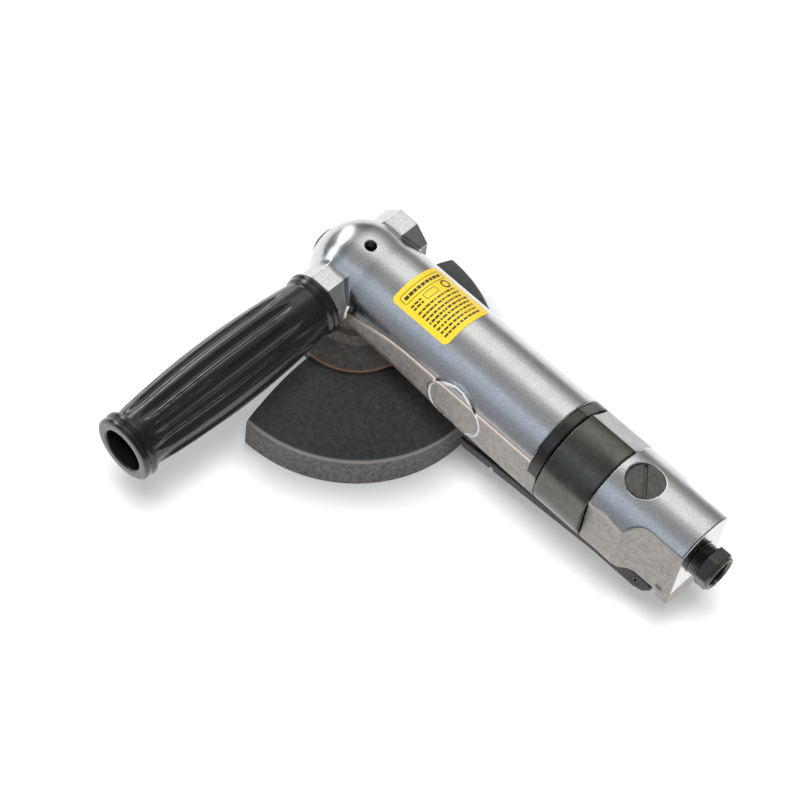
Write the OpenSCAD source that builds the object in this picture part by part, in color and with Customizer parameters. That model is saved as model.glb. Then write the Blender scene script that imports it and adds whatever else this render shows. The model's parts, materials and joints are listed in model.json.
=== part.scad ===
// Air angle grinder. Units are millimetres.
// The spindle stands along Z, the barrel runs along +X and the side handle along -Y.
// The origin is where the spindle axis crosses the barrel axis.

/* [Barrel housing] */
// Outer diameter of the barrel, the motor sleeve and the valve housing
barrel_d = 50; // [46:0.5:54]
// Distance from the spindle axis to the rear face of the barrel
barrel_end_x = 125.5; // [122:0.5:135]
// Bore that holds the vane motor
motor_bore_d = 40; // [38:0.5:41]
// Width across the two flat sides of the barrel
barrel_flats_w = 45.6; // [44:0.2:47]
// Slope of the barrel's underside towards the head, in degrees
barrel_relief = 4; // [3.6:0.1:4.5]

/* [Head] */
// Diameter of the domed top of the head
dome_d = 48; // [46:0.5:50]
// Wall round the gear chamber, below the dome
head_wall = 2.8; // [2.6:0.1:3.4]
// Height of the spindle housing's lower face below the barrel axis
head_drop = 16.5; // [16.5:0.1:17]
// Diameter of the bearing cap's lower edge
cap_d = 62; // [60:0.5:63]
// Height of the bearing cap's lower edge below the barrel axis
cap_bottom = 38.5; // [38:0.1:39]
// Distance of the handle bosses' end faces from the barrel axis
boss_reach = 29; // [27:0.5:32]
// Width across the flats of the octagonal handle bosses
boss_af = 26.2; // [25:0.2:30]
// Height of the handle bosses above the barrel axis
boss_z = 4.5; // [3:0.5:6]
// Thread diameter of the handle stud
handle_thread_d = 10; // [8:0.5:12]
// Diameter of the spindle lock hole in the dome
lock_hole_d = 5.5; // [4:0.1:6]
// Distance of the spindle lock hole from the spindle axis
lock_hole_x = 3.2; // [3:0.1:4]
// Diameter of the plug in the nose
nose_plug_d = 14.5; // [10:0.5:15]

/* [Side handle] */
// Length of the grip over both flanges
grip_len = 118; // [100:1:130]
// Largest diameter of the grip
grip_d = 35; // [32:0.5:38]
// Diameter of the grip next to its flanges
grip_end_d = 28; // [26:0.5:30]
// Diameter of the two flanges
grip_flange_d = 32.4; // [30:0.2:36]
// Diameter of the deep hole in the grip's outer end
grip_hole_d = 21; // [16:0.5:22]
// Depth of the hole in the grip's outer end
grip_hole_deep = 58; // [30:1:64]
// Number of flutes round the grip
grip_flutes = 12; // [8:1:14]

/* [Guard] */
// Outer radius of the guard
guard_r = 69.8; // [64:0.2:74]
// Sheet thickness of the guard
guard_t = 2; // [1.5:0.1:2.2]
// Height of the guard's rim
guard_rim_h = 15; // [12:0.5:18]

/* [Spindle] */
// Thread diameter of the spindle
spindle_thread_d = 14; // [12:0.5:16]
// Depth of the spindle's end below the barrel axis
spindle_end = 69.5; // [69:0.5:71]
// Diameter of the wheel flanges
wheel_flange_d = 42; // [36:1:44]
// Diameter of the shoulder that a wheel's hole fits over
wheel_pilot_d = 22.2; // [20:0.1:22.2]

/* [Bevel gears] */
// Teeth of the pinion
pinion_teeth = 12; // [12:12]
// Teeth of the ring gear
gear_teeth = 20; // [20:20]
// Pitch radius of the ring gear at its large end
gear_pitch_r = 15; // [14.8:0.1:15.2]
// Width of the teeth, measured along the pinion
tooth_w = 4.5; // [4:0.1:5]

/* [Vane motor] */
// Diameter of the rotor
rotor_d = 29.2; // [27:0.2:29.4]
// Length of the cylinder liner
liner_len = 56; // [50:1:58]
// Offset of the liner's bore from the rotor axis
liner_offset = 1.6; // [1.2:0.1:1.8]
// Number of vanes
vane_count = 4; // [3:1:5]
// Thickness of a vane
vane_t = 2.4; // [1.8:0.1:3]

/* [Rear end] */
// Width of the dark clamp ring behind the barrel
clamp_ring_w = 5.9; // [5:0.1:8]
// Length of the motor sleeve that shows
sleeve_len = 25.9; // [22:0.1:30]
// Length of the valve housing
valve_housing_len = 48; // [46:0.5:52]
// Width across the two flat sides of the valve housing at its front
valve_flats_w = 41.8; // [41:0.2:44]
// Width of the valve housing between its rear cheeks
cheek_w = 31; // [30:0.5:34]
// Height of the air inlet above the barrel axis
inlet_z = 4.5; // [3:0.5:6]
// Diameter of the inlet's threaded bore
inlet_bore_d = 12.6; // [11:0.1:13.4]
// Width across the flats of the inlet bushing
inlet_af = 17.6; // [17:0.1:19]
// Distance from the valve housing's front face to the valve axis
valve_x_from_front = 12.7; // [12:0.1:14]
// Diameter of the slotted plug over the valve
valve_plug_d = 17.7; // [16:0.1:18.4]

/* [Throttle lever] */
// Outer width of the lever
lever_w = 26; // [24:0.5:27]
// Sheet thickness of the lever
lever_t = 1.8; // [1.2:0.1:2.2]
// Distance from the lever's pivot to its front end
lever_len = 106.5; // [100:0.5:108]
// How far the lever can be squeezed, in degrees
lever_travel = 5.5; // [4:0.1:5.5]
// Diameter of the lever's pivot pin
pivot_pin_d = 4; // [3:0.1:4.4]

/* [Fits] */
// Radial clearance of a seat that does not turn
seat_gap = 0.02; // [0.01:0.01:0.05]
// Radial clearance of a running fit
run_gap = 0.06; // [0.04:0.01:0.1]

/* [Hidden] */
$fn = 64;
eps = 0.01;
// Longer than any piece, for cuts that run right through
through = 200;

barrel_r = barrel_d / 2;
motor_r = motor_bore_d / 2;

// Heights in the head, all measured down from the barrel axis
guard_top = cap_bottom + run_gap;
guard_bottom = guard_top + guard_t;
retainer_t = 2.2;
guard_neck_r = 24;
guard_seat_r = guard_neck_r + run_gap;

// The gear chamber leaves room round the ring gear, and the head a wall round the chamber
gear_rim = 0.9;
gear_plate_t = 2;
gear_room_d = 2 * (gear_pitch_r + gear_rim + 1.1);
head_d = gear_room_d + 2 * head_wall;

// Bearings as outer diameter, bore and width
upper_brg = [22, 8, 7];
lower_brg = [32, 15, 9];
front_brg = [28, 12, 8];
rear_brg = [22, 8, 7];
upper_brg_z = 11.5;
lower_brg_z = -head_drop - 0.6;
front_brg_x = 24;
front_plate_t = 8;
rear_plate_t = 13;

// Bevel gears share their apex at the origin
pitch_angle = atan(pinion_teeth / gear_teeth);
gear_back_z = gear_pitch_r * tan(pitch_angle);
pinion_pitch_r = gear_back_z;
cone_len = norm([gear_pitch_r, gear_back_z]);
addendum = 0.95;
dedendum = 1.45;
// The pinion ends short of the pitch point and the gear runs past it, so neither meets the other's back
pinion_face_x = gear_pitch_r - 1;
gear_face_z = gear_back_z + 0.6;

// Places along the barrel
front_plate_x = front_brg_x + front_brg[2] + 2;
liner_x = front_plate_x + front_plate_t;
rear_plate_x = liner_x + liner_len;
sleeve_tip_x = rear_plate_x + rear_plate_t;
sleeve_x = barrel_end_x + clamp_ring_w;
valve_front_x = sleeve_x + sleeve_len;
valve_end_x = valve_front_x + valve_housing_len;
valve_x = valve_front_x + valve_x_from_front;
liner_bore_r = rotor_d / 2 + liner_offset + 0.3;

// Lever
pivot_from_end = 18.6;
pivot_x = valve_end_x - pivot_from_end;
lever_clear = 0.5;
lever_foot = 6;
pivot_z = -(barrel_r + lever_clear);
knee_x = valve_x - 8;
lever_tip_x = pivot_x - lever_len;
lever_pad_z = pivot_z - lever_foot;
lever_side_end = pivot_x - 8.9;
side_top_z = -sqrt(pow(barrel_r, 2) - pow(lever_w / 2 - lever_t, 2)) - lever_clear;
stem_r = 2.5;
latch_from_tip = 20.5;
latch_x = lever_tip_x + latch_from_tip;
latch_z = lever_floor(latch_x) + 1.5;
latch_hub_r = 2.2;
latch_pin_r = 1;
latch_w = lever_w - 2 * lever_t - 1;

// Height of the lever's lower face at a place along the barrel
function lever_floor(x) = x > knee_x ? lever_pad_z : lever_pad_z - (knee_x - x) * tan(lever_travel);
// Height of the upper edge of the lever's sides, clear of the barrel when squeezed
function lever_top(x) = side_top_z - (pivot_x - x) * tan(lever_travel);
// Outline of a bevel gear's teeth in the plane of its large end
function tooth_ring(n, tip_r, pitch_r, root_r, first) = [for (i = [0 : n - 1], k = [0 : 5])
    let (share = [-0.30, -0.20, -0.10, 0.10, 0.20, 0.30][k],
        r = [root_r, pitch_r, tip_r, tip_r, pitch_r, root_r][k],
        a = first + (i + share) * 360 / n)
    r * [cos(a), sin(a)]];

// Turns a shape that stands on Z so that it lies along +X
module along_x(x = 0, z = 0) translate([x, 0, z]) rotate([0, 90, 0]) children();
// Turns a shape that stands on Z so that it lies along -Y
module along_near(y = 0, z = 0) translate([0, y, z]) rotate([90, 0, 0]) children();
// A plain ring standing on Z
module ring(r_out, r_in, h) difference() {
    cylinder(r = r_out, h = h);
    translate([0, 0, -1]) cylinder(r = r_in, h = h + 2);
}
// A sealed ball bearing, drawn as one ring with its shields set back
module bearing(size) rotate_extrude() difference() {
    translate([size[1] / 2 + seat_gap, 0])
        square([size[0] / 2 - size[1] / 2 - 2 * seat_gap, size[2]]);
    for (y = [-1, size[2] - 0.4])
        translate([size[1] / 2 + 2, y]) square([size[0] / 2 - size[1] / 2 - 4, 1.4]);
}
// One octagonal boss that carries a side handle
module handle_boss() along_near(0, boss_z) rotate(22.5)
    cylinder(r = boss_af / 2 / cos(22.5), h = boss_reach, $fn = 8);

// The dome is squarer than a ball: a curve of higher power, turned about the spindle
dome_power = 2.3;
dome_steps = 9;
quarter = 90;
// Below its widest place the head is round again and meets the collar
dome_low_turn = 7.6;
function dome_point(a) = dome_d / 2 * [pow(cos(a), 2 / dome_power), pow(sin(a), 2 / dome_power)];

// Length over which the barrel widens behind the head
nose_taper = 14;

module housing_outside() {
    rotate_extrude() polygon(concat([[0, -head_drop]],
        [for (i = [5 : -1 : 1]) dome_d / 2 * [cos(i * dome_low_turn), -sin(i * dome_low_turn)]],
        [for (i = [0 : dome_steps]) dome_point(i * quarter / dome_steps)]));
    translate([0, 0, -head_drop]) cylinder(d = head_d, h = head_drop);
    difference() {
        intersection() {
            along_x() rotate_extrude() polygon([[0, 0], [dome_d / 2 - 0.1, 0], [barrel_r, nose_taper],
                [barrel_r, barrel_end_x], [0, barrel_end_x]]);
            translate([0, -barrel_flats_w / 2, -barrel_d])
                cube([barrel_end_x, barrel_flats_w, 2 * barrel_d]);
        }
        underside_relief();
    }
    handle_boss();
    mirror([0, 1, 0]) handle_boss();
    oval_pad();
}

// Three planes that slim the underside of the barrel towards the head
module underside_relief() {
    translate([relief_end_x, -barrel_d, -barrel_r]) rotate([0, barrel_relief, 0])
        translate([-through, 0, -through]) cube([through, 2 * barrel_d, through]);
    for (side = [-1, 1]) translate([relief_end_x, side * barrel_flats_w / 2, -relief_edge])
        rotate([0, barrel_relief + 1.7, 0]) rotate([-side * relief_lean, 0, 0])
        translate([-through, side > 0 ? 0 : -barrel_d, -through]) cube([through, barrel_d, through]);
}
relief_end_x = 85;
relief_edge = 10.2;
relief_lean = 35;

// Bare oval pad on the near side of the barrel, following its flat and its curve
oval_x = 80;
oval_z = 3;
oval_len = 31.5;
oval_h = 27;
oval_proud = 0.5;
module oval_pad() intersection() {
    translate([oval_x, -barrel_flats_w / 2 - oval_proud, oval_z]) rotate([-90, 0, 0])
        linear_extrude(8) polygon([for (i = [0 : 47])
            [cos(i * 7.5) * oval_len / 2, sin(i * 7.5) * oval_h / 2]]);
    along_x(oval_x - oval_len) cylinder(r = barrel_r + oval_proud, h = 2 * oval_len);
}

module angle_housing() color("silver") difference() {
    housing_outside();
    // Gear chamber, open at the bottom for the bearing cap
    translate([0, 0, -head_drop - 1]) cylinder(d = gear_room_d, h = head_drop + upper_brg_z);
    translate([0, 0, upper_brg_z - 2]) cylinder(d = upper_brg[0], h = upper_brg[2] + 3);
    // Room for the bearing cap under the front of the barrel
    translate([0, 0, -head_drop - through]) cylinder(r = head_d / 2 + 0.6, h = through);
    // Bores for the rotor's bearing and for the motor
    along_x() cylinder(r = pinion_pitch_r + addendum + 1, h = front_brg_x);
    along_x(front_brg_x - 2) cylinder(d = front_brg[0], h = front_plate_x - front_brg_x + 3);
    along_x(front_plate_x) cylinder(r = motor_r, h = barrel_end_x - front_plate_x + 1);
    // Spindle lock hole and nose plug
    translate([lock_hole_x, 0, 0]) cylinder(d = lock_hole_d, h = dome_d);
    along_x(-dome_d) cylinder(d = nose_plug_d - 3, h = dome_d);
    along_x(-dome_d - nose_seat) cylinder(d = nose_plug_d + 2 * seat_gap, h = dome_d);
    // Threaded holes for the handle, one on each side
    for (side = [-1, 1]) translate([0, side * (boss_reach + 1), boss_z]) rotate([side * 90, 0, 0])
        cylinder(r = handle_thread_d / 2 + seat_gap, h = handle_hole_deep + 1);
}
handle_hole_deep = boss_reach - gear_room_d / 2 - 1.2;
nose_seat = 22.5;
plug_head_t = 2;
hex_key_r = 3.2;

module front_plug() color("dimgray") difference() {
    union() {
        along_x(-nose_seat - plug_head_t) cylinder(d = nose_plug_d, h = plug_head_t);
        along_x(-nose_seat - 1) cylinder(d = nose_plug_d - 3 - 2 * seat_gap, h = 4);
    }
    along_x(-nose_seat - plug_head_t - 1) rotate(22.5) cylinder(r = hex_key_r, h = 3, $fn = 6);
}

// Plain yellow label on top of the barrel
label_x = 29;
label_len = 34;
label_t = 0.25;
label_turns = [-31, 40];
module name_label() color("gold") along_x(label_x) intersection() {
    difference() {
        cylinder(r = barrel_r + label_t, h = label_len);
        translate([0, 0, -1]) cylinder(r = barrel_r + seat_gap, h = label_len + 2);
    }
    linear_extrude(label_len) polygon([[0, 0], for (k = [0 : 3])
        let (a = label_turns[0] + k * (label_turns[1] - label_turns[0]) / 3)
        2 * barrel_r * [-cos(a), sin(a)]]);
}

// Bell-shaped bearing cap that screws into the head and carries the guard
cap_edge_h = 3;
cap_waist_h = 6;
cap_spigot_h = 3.6;
cap_hollow_r = 17.6;
neck_low = guard_bottom + run_gap;
lower_brg_floor = lower_brg_z - lower_brg[2];
seal_r_out = 12;
seal_h = 5;
module bearing_cap() color("#2f2f30") difference() {
    union() {
        translate([0, 0, -head_drop]) cylinder(d = gear_room_d - 2 * seat_gap, h = cap_spigot_h);
        rotate_extrude() polygon([[0, -head_drop], [head_d / 2, -head_drop],
            [head_d / 2 + 0.3, -head_drop - cap_waist_h], [head_d / 2 + 2.6, -head_drop - cap_waist_h - 4],
            [cap_d / 2, -cap_bottom + cap_edge_h], [cap_d / 2, -cap_bottom], [0, -cap_bottom]]);
        translate([0, 0, -neck_low]) cylinder(r = guard_neck_r, h = neck_low - cap_bottom + 1);
    }
    translate([0, 0, lower_brg_floor]) cylinder(d = lower_brg[0], h = through);
    translate([0, 0, -through]) cylinder(r = seal_r_out, h = through);
    translate([0, 0, lower_brg_floor - seal_h - through]) cylinder(r = cap_hollow_r, h = through);
    guard_screw_places() translate([0, 0, -neck_low - 1])
        cylinder(r = guard_screw_r + seat_gap, h = guard_screw_len);
}

// Ring and screws that clamp the guard under the bearing cap
guard_screw_r = 1.25;
guard_screw_len = 8;
screw_head_r = 2.4;
screw_head_t = 1.5;
screw_socket_r = 1.1;
module guard_screw_places() for (a = [0, 90, 180, 270]) rotate(a)
    translate([(guard_neck_r + cap_hollow_r) / 2, 0, 0]) children();
module guard_retainer() color("dimgray") difference() {
    translate([0, 0, -neck_low - retainer_t]) ring(guard_neck_r + 3.6, cap_hollow_r + 0.4, retainer_t);
    guard_screw_places() translate([0, 0, -neck_low - retainer_t - 1])
        cylinder(r = guard_screw_r + seat_gap, h = retainer_t + 2);
}
module guard_screws() color("gray") guard_screw_places() translate([0, 0, -neck_low - retainer_t])
    difference() {
        union() {
            translate([0, 0, -screw_head_t]) cylinder(r = screw_head_r, h = screw_head_t);
            translate([0, 0, -screw_head_t / 2]) cylinder(r = guard_screw_r, h = guard_screw_len);
        }
        translate([0, 0, -screw_head_t - 1]) cylinder(r = screw_socket_r, h = 1 + screw_head_t / 2, $fn = 6);
    }

// Pressed steel guard: a full ring round the neck and half a dish towards the barrel
plate_in_r = cap_d / 2 + 0.8;
plate_fall = 5.7;
shoulder_fall = 5;
corner_fall = 3.3;
edge_fall = 4.2;
skirt_z = guard_top + plate_fall + shoulder_fall + corner_fall + edge_fall;
guard_low = skirt_z + guard_rim_h;
shoulder_z_out = guard_top + plate_fall + shoulder_fall;
corner_z = shoulder_z_out + corner_fall;
bend_r = 55.2;
module guard_section() polygon([
    [guard_seat_r, -guard_top], [plate_in_r, -guard_top],
    [bend_r, -guard_top - plate_fall], [guard_r - 4.4, -shoulder_z_out],
    [guard_r - 1.3, -corner_z], [guard_r, -skirt_z], [guard_r, -guard_low],
    [guard_r - guard_t, -guard_low], [guard_r - guard_t, -skirt_z],
    [guard_r - 1.3 - guard_t, -corner_z - 0.6], [guard_r - 5 - guard_t / 2, -shoulder_z_out - guard_t],
    [bend_r - 0.5, -guard_top - plate_fall - guard_t],
    [plate_in_r - 0.5, -guard_bottom], [guard_seat_r, -guard_bottom]]);
module wheel_guard() color("#2c2c2e") {
    difference() {
        rotate_extrude($fn = 128) guard_section();
        translate([-2 * guard_r, -2 * guard_r, -guard_low - 1]) cube([2 * guard_r, 4 * guard_r, 2 * guard_r]);
    }
    translate([0, 0, -guard_bottom]) difference() {
        ring(plate_in_r - 0.6, guard_seat_r, guard_t);
        translate([0, -guard_r, -1]) cube([guard_r, 2 * guard_r, guard_t + 2]);
    }
}

// Side handle and the stud moulded into it
stud_in_grip = 26;
stud_nut_t = 5;
stud_nut_from_end = 7;
stud_nut_r = handle_thread_d / 2 + 2.4;
grip_y = -boss_reach - 0.3;
flange_t = 6;
end_flange_t = 7.4;
module handle_stud() color("gray") along_near(-boss_reach + handle_hole_deep - 0.4, boss_z) {
    cylinder(d = handle_thread_d, h = handle_hole_deep + stud_in_grip);
    translate([0, 0, handle_hole_deep + stud_in_grip - stud_nut_from_end])
        cylinder(r = stud_nut_r, h = stud_nut_t, $fn = 6);
}
// Radius of the grip at a share of its length, swelling in the middle
function grip_r(t) = grip_end_d / 2 + (grip_d - grip_end_d) / 2 * pow(sin(180 * t), 0.8);
module side_handle() color("#141414") along_near(grip_y, boss_z) difference() {
    rotate_extrude() polygon(concat([[0, 0], [grip_flange_d / 2 - 0.8, 0],
        [grip_flange_d / 2, 0.8], [grip_flange_d / 2, flange_t - 1.6],
        [grip_flange_d / 2 - 1.6, flange_t]],
        [for (i = [0 : 16]) [grip_r(i / 16),
            flange_t + 0.6 + i / 16 * (grip_len - flange_t - end_flange_t - 1.2)]],
        [[grip_flange_d / 2 - 1.2, grip_len - end_flange_t],
        [grip_flange_d / 2, grip_len - end_flange_t + 1.6],
        [grip_flange_d / 2, grip_len - 1.4], [grip_flange_d / 2 - 1.4, grip_len], [0, grip_len]]));
    translate([0, 0, grip_len - grip_hole_deep])
        cylinder(d = grip_hole_d, h = grip_hole_deep + 1);
    translate([0, 0, -1]) cylinder(r = handle_thread_d / 2 + seat_gap, h = stud_in_grip + 1.4);
    translate([0, 0, stud_in_grip - stud_nut_from_end + 0.1 - seat_gap])
        cylinder(r = stud_nut_r + 2 * seat_gap, h = stud_nut_t + 2 * seat_gap, $fn = 6);
    // Long flutes, deepest at the middle of the grip
    for (i = [0 : grip_flutes - 1]) rotate(i * 360 / grip_flutes)
        translate([grip_d / 2 + flute_r - flute_deep, 0, flute_end])
            cylinder(r = flute_r, h = grip_len - 2 * flute_end, $fn = 24);
}
flute_r = 3.4;
flute_deep = 1.9;
flute_end = 12;

// Spindle line
shoulder_z = -46.6;
inner_flange_t = 5;
pilot_h = 2;
nut_t = 7;
flange_face_z = shoulder_z - inner_flange_t;
nut_top_z = flange_face_z - pilot_h - 0.1;
gear_hub_z = -head_drop + 0.4;
module spindle() color("darkgray") difference() {
    union() {
        translate([0, 0, upper_brg_z - 1]) cylinder(d = upper_brg[1], h = upper_brg[2] + 1);
        translate([0, 0, gear_hub_z]) cylinder(r = spindle_gear_r, h = upper_brg_z - gear_hub_z);
        translate([0, 0, lower_brg_floor]) cylinder(d = lower_brg[1], h = gear_hub_z - lower_brg_floor);
        translate([0, 0, shoulder_z]) cylinder(r = spindle_shoulder_r, h = lower_brg_floor - shoulder_z);
        translate([0, 0, free_thread_z]) cylinder(d = spindle_thread_d, h = shoulder_z - free_thread_z);
        // Relief groove under the nut, then the thread's free end
        translate([0, 0, free_thread_z - relief_w])
            cylinder(r = spindle_thread_d / 2 - relief_deep, h = relief_w + 1);
        translate([0, 0, tip_chamfer - spindle_end])
            cylinder(d = spindle_thread_d, h = free_thread_z - relief_w + spindle_end - tip_chamfer);
        translate([0, 0, -spindle_end])
            cylinder(r1 = spindle_thread_d / 2 - tip_chamfer, r2 = spindle_thread_d / 2, h = tip_chamfer);
    }
    // Slot in the top end for the locking pin
    translate([-upper_brg[1], -lock_slot_w / 2, upper_brg_z + upper_brg[2] - lock_slot_h])
        cube([2 * upper_brg[1], lock_slot_w, 2 * lock_slot_h]);
    translate([spindle_gear_r - key_deep, -key_w / 2, gear_hub_z - eps])
        cube([2 * key_deep, key_w, key_len + 0.3]);
}
spindle_gear_r = 6;
spindle_shoulder_r = 9.4;
tip_chamfer = 1;
relief_w = 2;
relief_deep = 1.2;
free_thread_z = nut_top_z - nut_t - 0.25;
lock_slot_w = 5.6;
lock_slot_h = 2.5;
key_w = 3;
key_deep = 2;
module spindle_upper_bearing() color("lightgray") translate([0, 0, upper_brg_z]) bearing(upper_brg);
key_len = 4.4;
module spindle_lower_bearing() color("lightgray") translate([0, 0, lower_brg_floor]) bearing(lower_brg);
module spindle_seal() color("#202020") translate([0, 0, lower_brg_floor - seal_h + 0.2])
    ring(seal_r_out - seat_gap, spindle_shoulder_r + run_gap, seal_h - 0.4);
module gear_key() color("gray") translate([spindle_gear_r - key_deep, seat_gap - key_w / 2, gear_hub_z + 0.2])
    cube([2 * key_deep - 0.4, key_w - 2 * seat_gap, key_len]);

// Teeth of a bevel gear, tapering to the point where the two axes cross
module bevel_teeth(n, pitch_r, back, width, first) {
    half = atan(pitch_r / back);
    out = atan(addendum / cone_len);
    in = atan(dedendum / cone_len);
    linear_extrude(width, scale = (back - width) / back)
        polygon(tooth_ring(n, back * tan(half + out), pitch_r, back * tan(half - in), first));
}
module ring_gear() color("slategray") difference() {
    union() {
        intersection() {
            translate([0, 0, -gear_face_z]) bevel_teeth(gear_teeth,
                gear_pitch_r * gear_face_z / gear_back_z, gear_face_z, gear_face_h, 0);
            translate([0, 0, -gear_face_z - 1]) cylinder(r = gear_pitch_r + gear_rim, h = gear_room_d);
        }
        translate([0, 0, -gear_face_z - gear_plate_t])
            cylinder(r = gear_pitch_r + gear_rim, h = gear_plate_t + eps);
        translate([0, 0, gear_hub_z]) cylinder(r = gear_hub_r, h = -gear_face_z - gear_hub_z);
    }
    translate([0, 0, -head_d]) cylinder(r = spindle_gear_r + seat_gap, h = 2 * head_d);
    translate([0, -key_w / 2, gear_hub_z - 1])
        cube([spindle_gear_r + key_deep - 0.3, key_w, key_len + 1.5]);
}
gear_face_h = tooth_w * tan(pitch_angle);
gear_hub_r = 10.6;
module pinion() color("slategray") difference() {
    union() {
        along_x(pinion_face_x) mirror([0, 0, 1]) bevel_teeth(pinion_teeth,
            pinion_pitch_r * pinion_face_x / gear_pitch_r, pinion_face_x, tooth_w - 1, 180 / pinion_teeth);
        along_x(pinion_face_x - eps) cylinder(r = pinion_pitch_r - 2 * addendum,
            h = front_brg_x - pinion_face_x - 0.3);
    }
    along_x() cylinder(r = pinion_bore_r + seat_gap, h = through);
}
pinion_bore_r = 4.5;

// Wheel flanges
module inner_flange() color("gray") difference() {
    union() {
        translate([0, 0, flange_face_z]) cylinder(d = wheel_flange_d, h = inner_flange_t);
        translate([0, 0, flange_face_z - pilot_h]) cylinder(d = wheel_pilot_d, h = pilot_h + 1);
    }
    translate([0, 0, -through]) cylinder(r = spindle_thread_d / 2 + seat_gap, h = through);
}
module flange_nut() color("gray") difference() {
    union() {
        translate([0, 0, nut_top_z - nut_t]) cylinder(d = wheel_flange_d - 2 * nut_rim_t, h = nut_t);
        translate([0, 0, nut_top_z - nut_rim_t]) cylinder(d = wheel_flange_d, h = nut_rim_t);
    }
    translate([0, 0, -through]) cylinder(r = spindle_thread_d / 2 + seat_gap, h = through);
    // Pin holes for the face spanner
    for (a = [0, 90, 180, 270]) rotate(a) translate([wheel_flange_d / 3, 0, nut_top_z - nut_t - 1])
        cylinder(r = spanner_hole_r, h = 1 + nut_t - nut_rim_t);
}
nut_rim_t = 3;
spanner_hole_r = 2.3;

// Vane motor
rotor_x = liner_x + 0.1;
rotor_len = liner_len - 0.2;
shaft_tip_x = gear_pitch_r - tooth_w - 0.5;
vane_deep = 9.4;
rear_brg_x = rear_plate_x + rear_plate_t - rear_brg[2] - 0.7;
module vane_places() for (i = [0 : vane_count - 1]) rotate(i * 360 / vane_count) children();
module rotor() color("gray") difference() {
    union() {
        along_x(rotor_x) cylinder(d = rotor_d, h = rotor_len);
        along_x(shaft_tip_x) cylinder(r = pinion_bore_r, h = rotor_x - shaft_tip_x);
        along_x(front_brg_x) cylinder(d = front_brg[1], h = rotor_x - front_brg_x);
        along_x(rotor_x) cylinder(d = rear_brg[1], h = rear_brg_x + rear_brg[2] - 0.3 - rotor_x);
    }
    along_x(rotor_x - 1) vane_places() translate([rotor_d / 2 - vane_deep, -vane_t / 2, 0])
        cube([vane_deep + 2, vane_t, rotor_len + 2]);
}
module vanes() color("sienna") along_x(rotor_x + 0.1) vane_places()
    translate([rotor_d / 2 - vane_deep + 0.3, -vane_t / 2 + 0.05, 0])
        cube([vane_deep - 0.3, vane_t - 0.1, rotor_len - 0.2]);
module front_rotor_bearing() color("lightgray") along_x(front_brg_x) bearing(front_brg);
module front_end_plate() color("darkgray") along_x(front_plate_x + seat_gap)
    ring(motor_r - seat_gap, front_brg[1] / 2 + 0.3, front_plate_t - 2 * seat_gap);
module cylinder_liner() color("silver") along_x(liner_x) difference() {
    cylinder(r = motor_r - seat_gap, h = liner_len);
    translate([liner_offset, 0, -1]) cylinder(r = liner_bore_r, h = liner_len + 2);
    // Inlet and exhaust ports through the wall
    for (z = [0.3, 0.5, 0.7]) translate([0, 0, z * liner_len]) rotate([90, 0, 0])
        cylinder(r = port_r, h = barrel_d);
    pin_place(liner_len) cylinder(r = dowel_r + seat_gap, h = dowel_len + 1);
}
// The small dowel that keeps the liner and the rear end plate in line
port_r = 2;
dowel_r = 1;
dowel_len = 4.6;
module pin_place(z) translate([-motor_r + 1.75, 0, z - dowel_len / 2 - 0.1]) children();
module liner_pin() color("gray") along_x(liner_x) pin_place(liner_len) cylinder(r = dowel_r, h = dowel_len);
module rear_end_plate() color("darkgray") along_x(rear_plate_x + seat_gap) difference() {
    cylinder(r = motor_r - seat_gap, h = rear_plate_t - seat_gap);
    translate([0, 0, -1]) cylinder(d = rear_brg[1] + 1, h = rear_plate_t + 2);
    translate([0, 0, rear_plate_t - rear_brg[2] - 1]) cylinder(d = rear_brg[0], h = rear_brg[2] + 2);
    pin_place(0) cylinder(r = dowel_r + seat_gap, h = dowel_len + 0.4);
}
module rear_rotor_bearing() color("lightgray") along_x(rear_brg_x) bearing(rear_brg);

// Clamp ring and motor sleeve
module flat_cut(turn, deep, len) rotate(-turn) translate([barrel_r - deep, -barrel_r, -eps])
    cube([barrel_r, barrel_d, len + 2 * eps]);
module clamp_ring() color("#3a3836") along_x(barrel_end_x + seat_gap) difference() {
    ring(barrel_r, motor_r + seat_gap, clamp_ring_w - 2 * seat_gap);
    for (turn = [-92, 28, 148]) rotate(180) flat_cut(turn, ring_flat_deep, clamp_ring_w);
}
ring_flat_deep = 0.85;
sleeve_flat_deep = 1.36;
sleeve_wall = 8.4;
sleeve_port_r = 13;
module motor_sleeve() color("#4a4744") difference() {
    union() {
        along_x(sleeve_tip_x + seat_gap) cylinder(r = motor_r - seat_gap, h = sleeve_x - sleeve_tip_x);
        along_x(sleeve_x) cylinder(r = barrel_r, h = sleeve_len);
    }
    along_x(sleeve_x - spigot_len) cylinder(r = barrel_r - sleeve_wall, h = through);
    along_x(sleeve_tip_x - 1) cylinder(r = sleeve_port_r, h = through);
    along_x(valve_front_x - spigot_len) cylinder(r = motor_r, h = spigot_len + 1);
    along_x(sleeve_x) for (turn = [38, 218]) rotate(180) flat_cut(turn, sleeve_flat_deep, sleeve_len);
}
spigot_len = 12;

// Valve housing
module valve_housing_outside() {
    along_x(valve_front_x - spigot_len + 0.3) cylinder(r = motor_r - seat_gap, h = spigot_len);
    difference() {
        along_x(valve_front_x + seat_gap) cylinder(r = barrel_r, h = valve_housing_len - seat_gap);
        for (side = [-1, 1]) {
            flared_flat(side);
            cheek_cut(side);
        }
        pivot_pocket();
    }
    pivot_lug();
    translate([valve_end_x - panel_from_end, -cheek_w / 2 - panel_proud, panel_z])
        cube([panel_w, 2 * panel_proud, panel_h]);
}
// Bare panel on the near cheek
panel_from_end = 8.3;
panel_proud = 0.4;
panel_w = 5;
panel_h = 27;
panel_z = -10;
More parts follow.
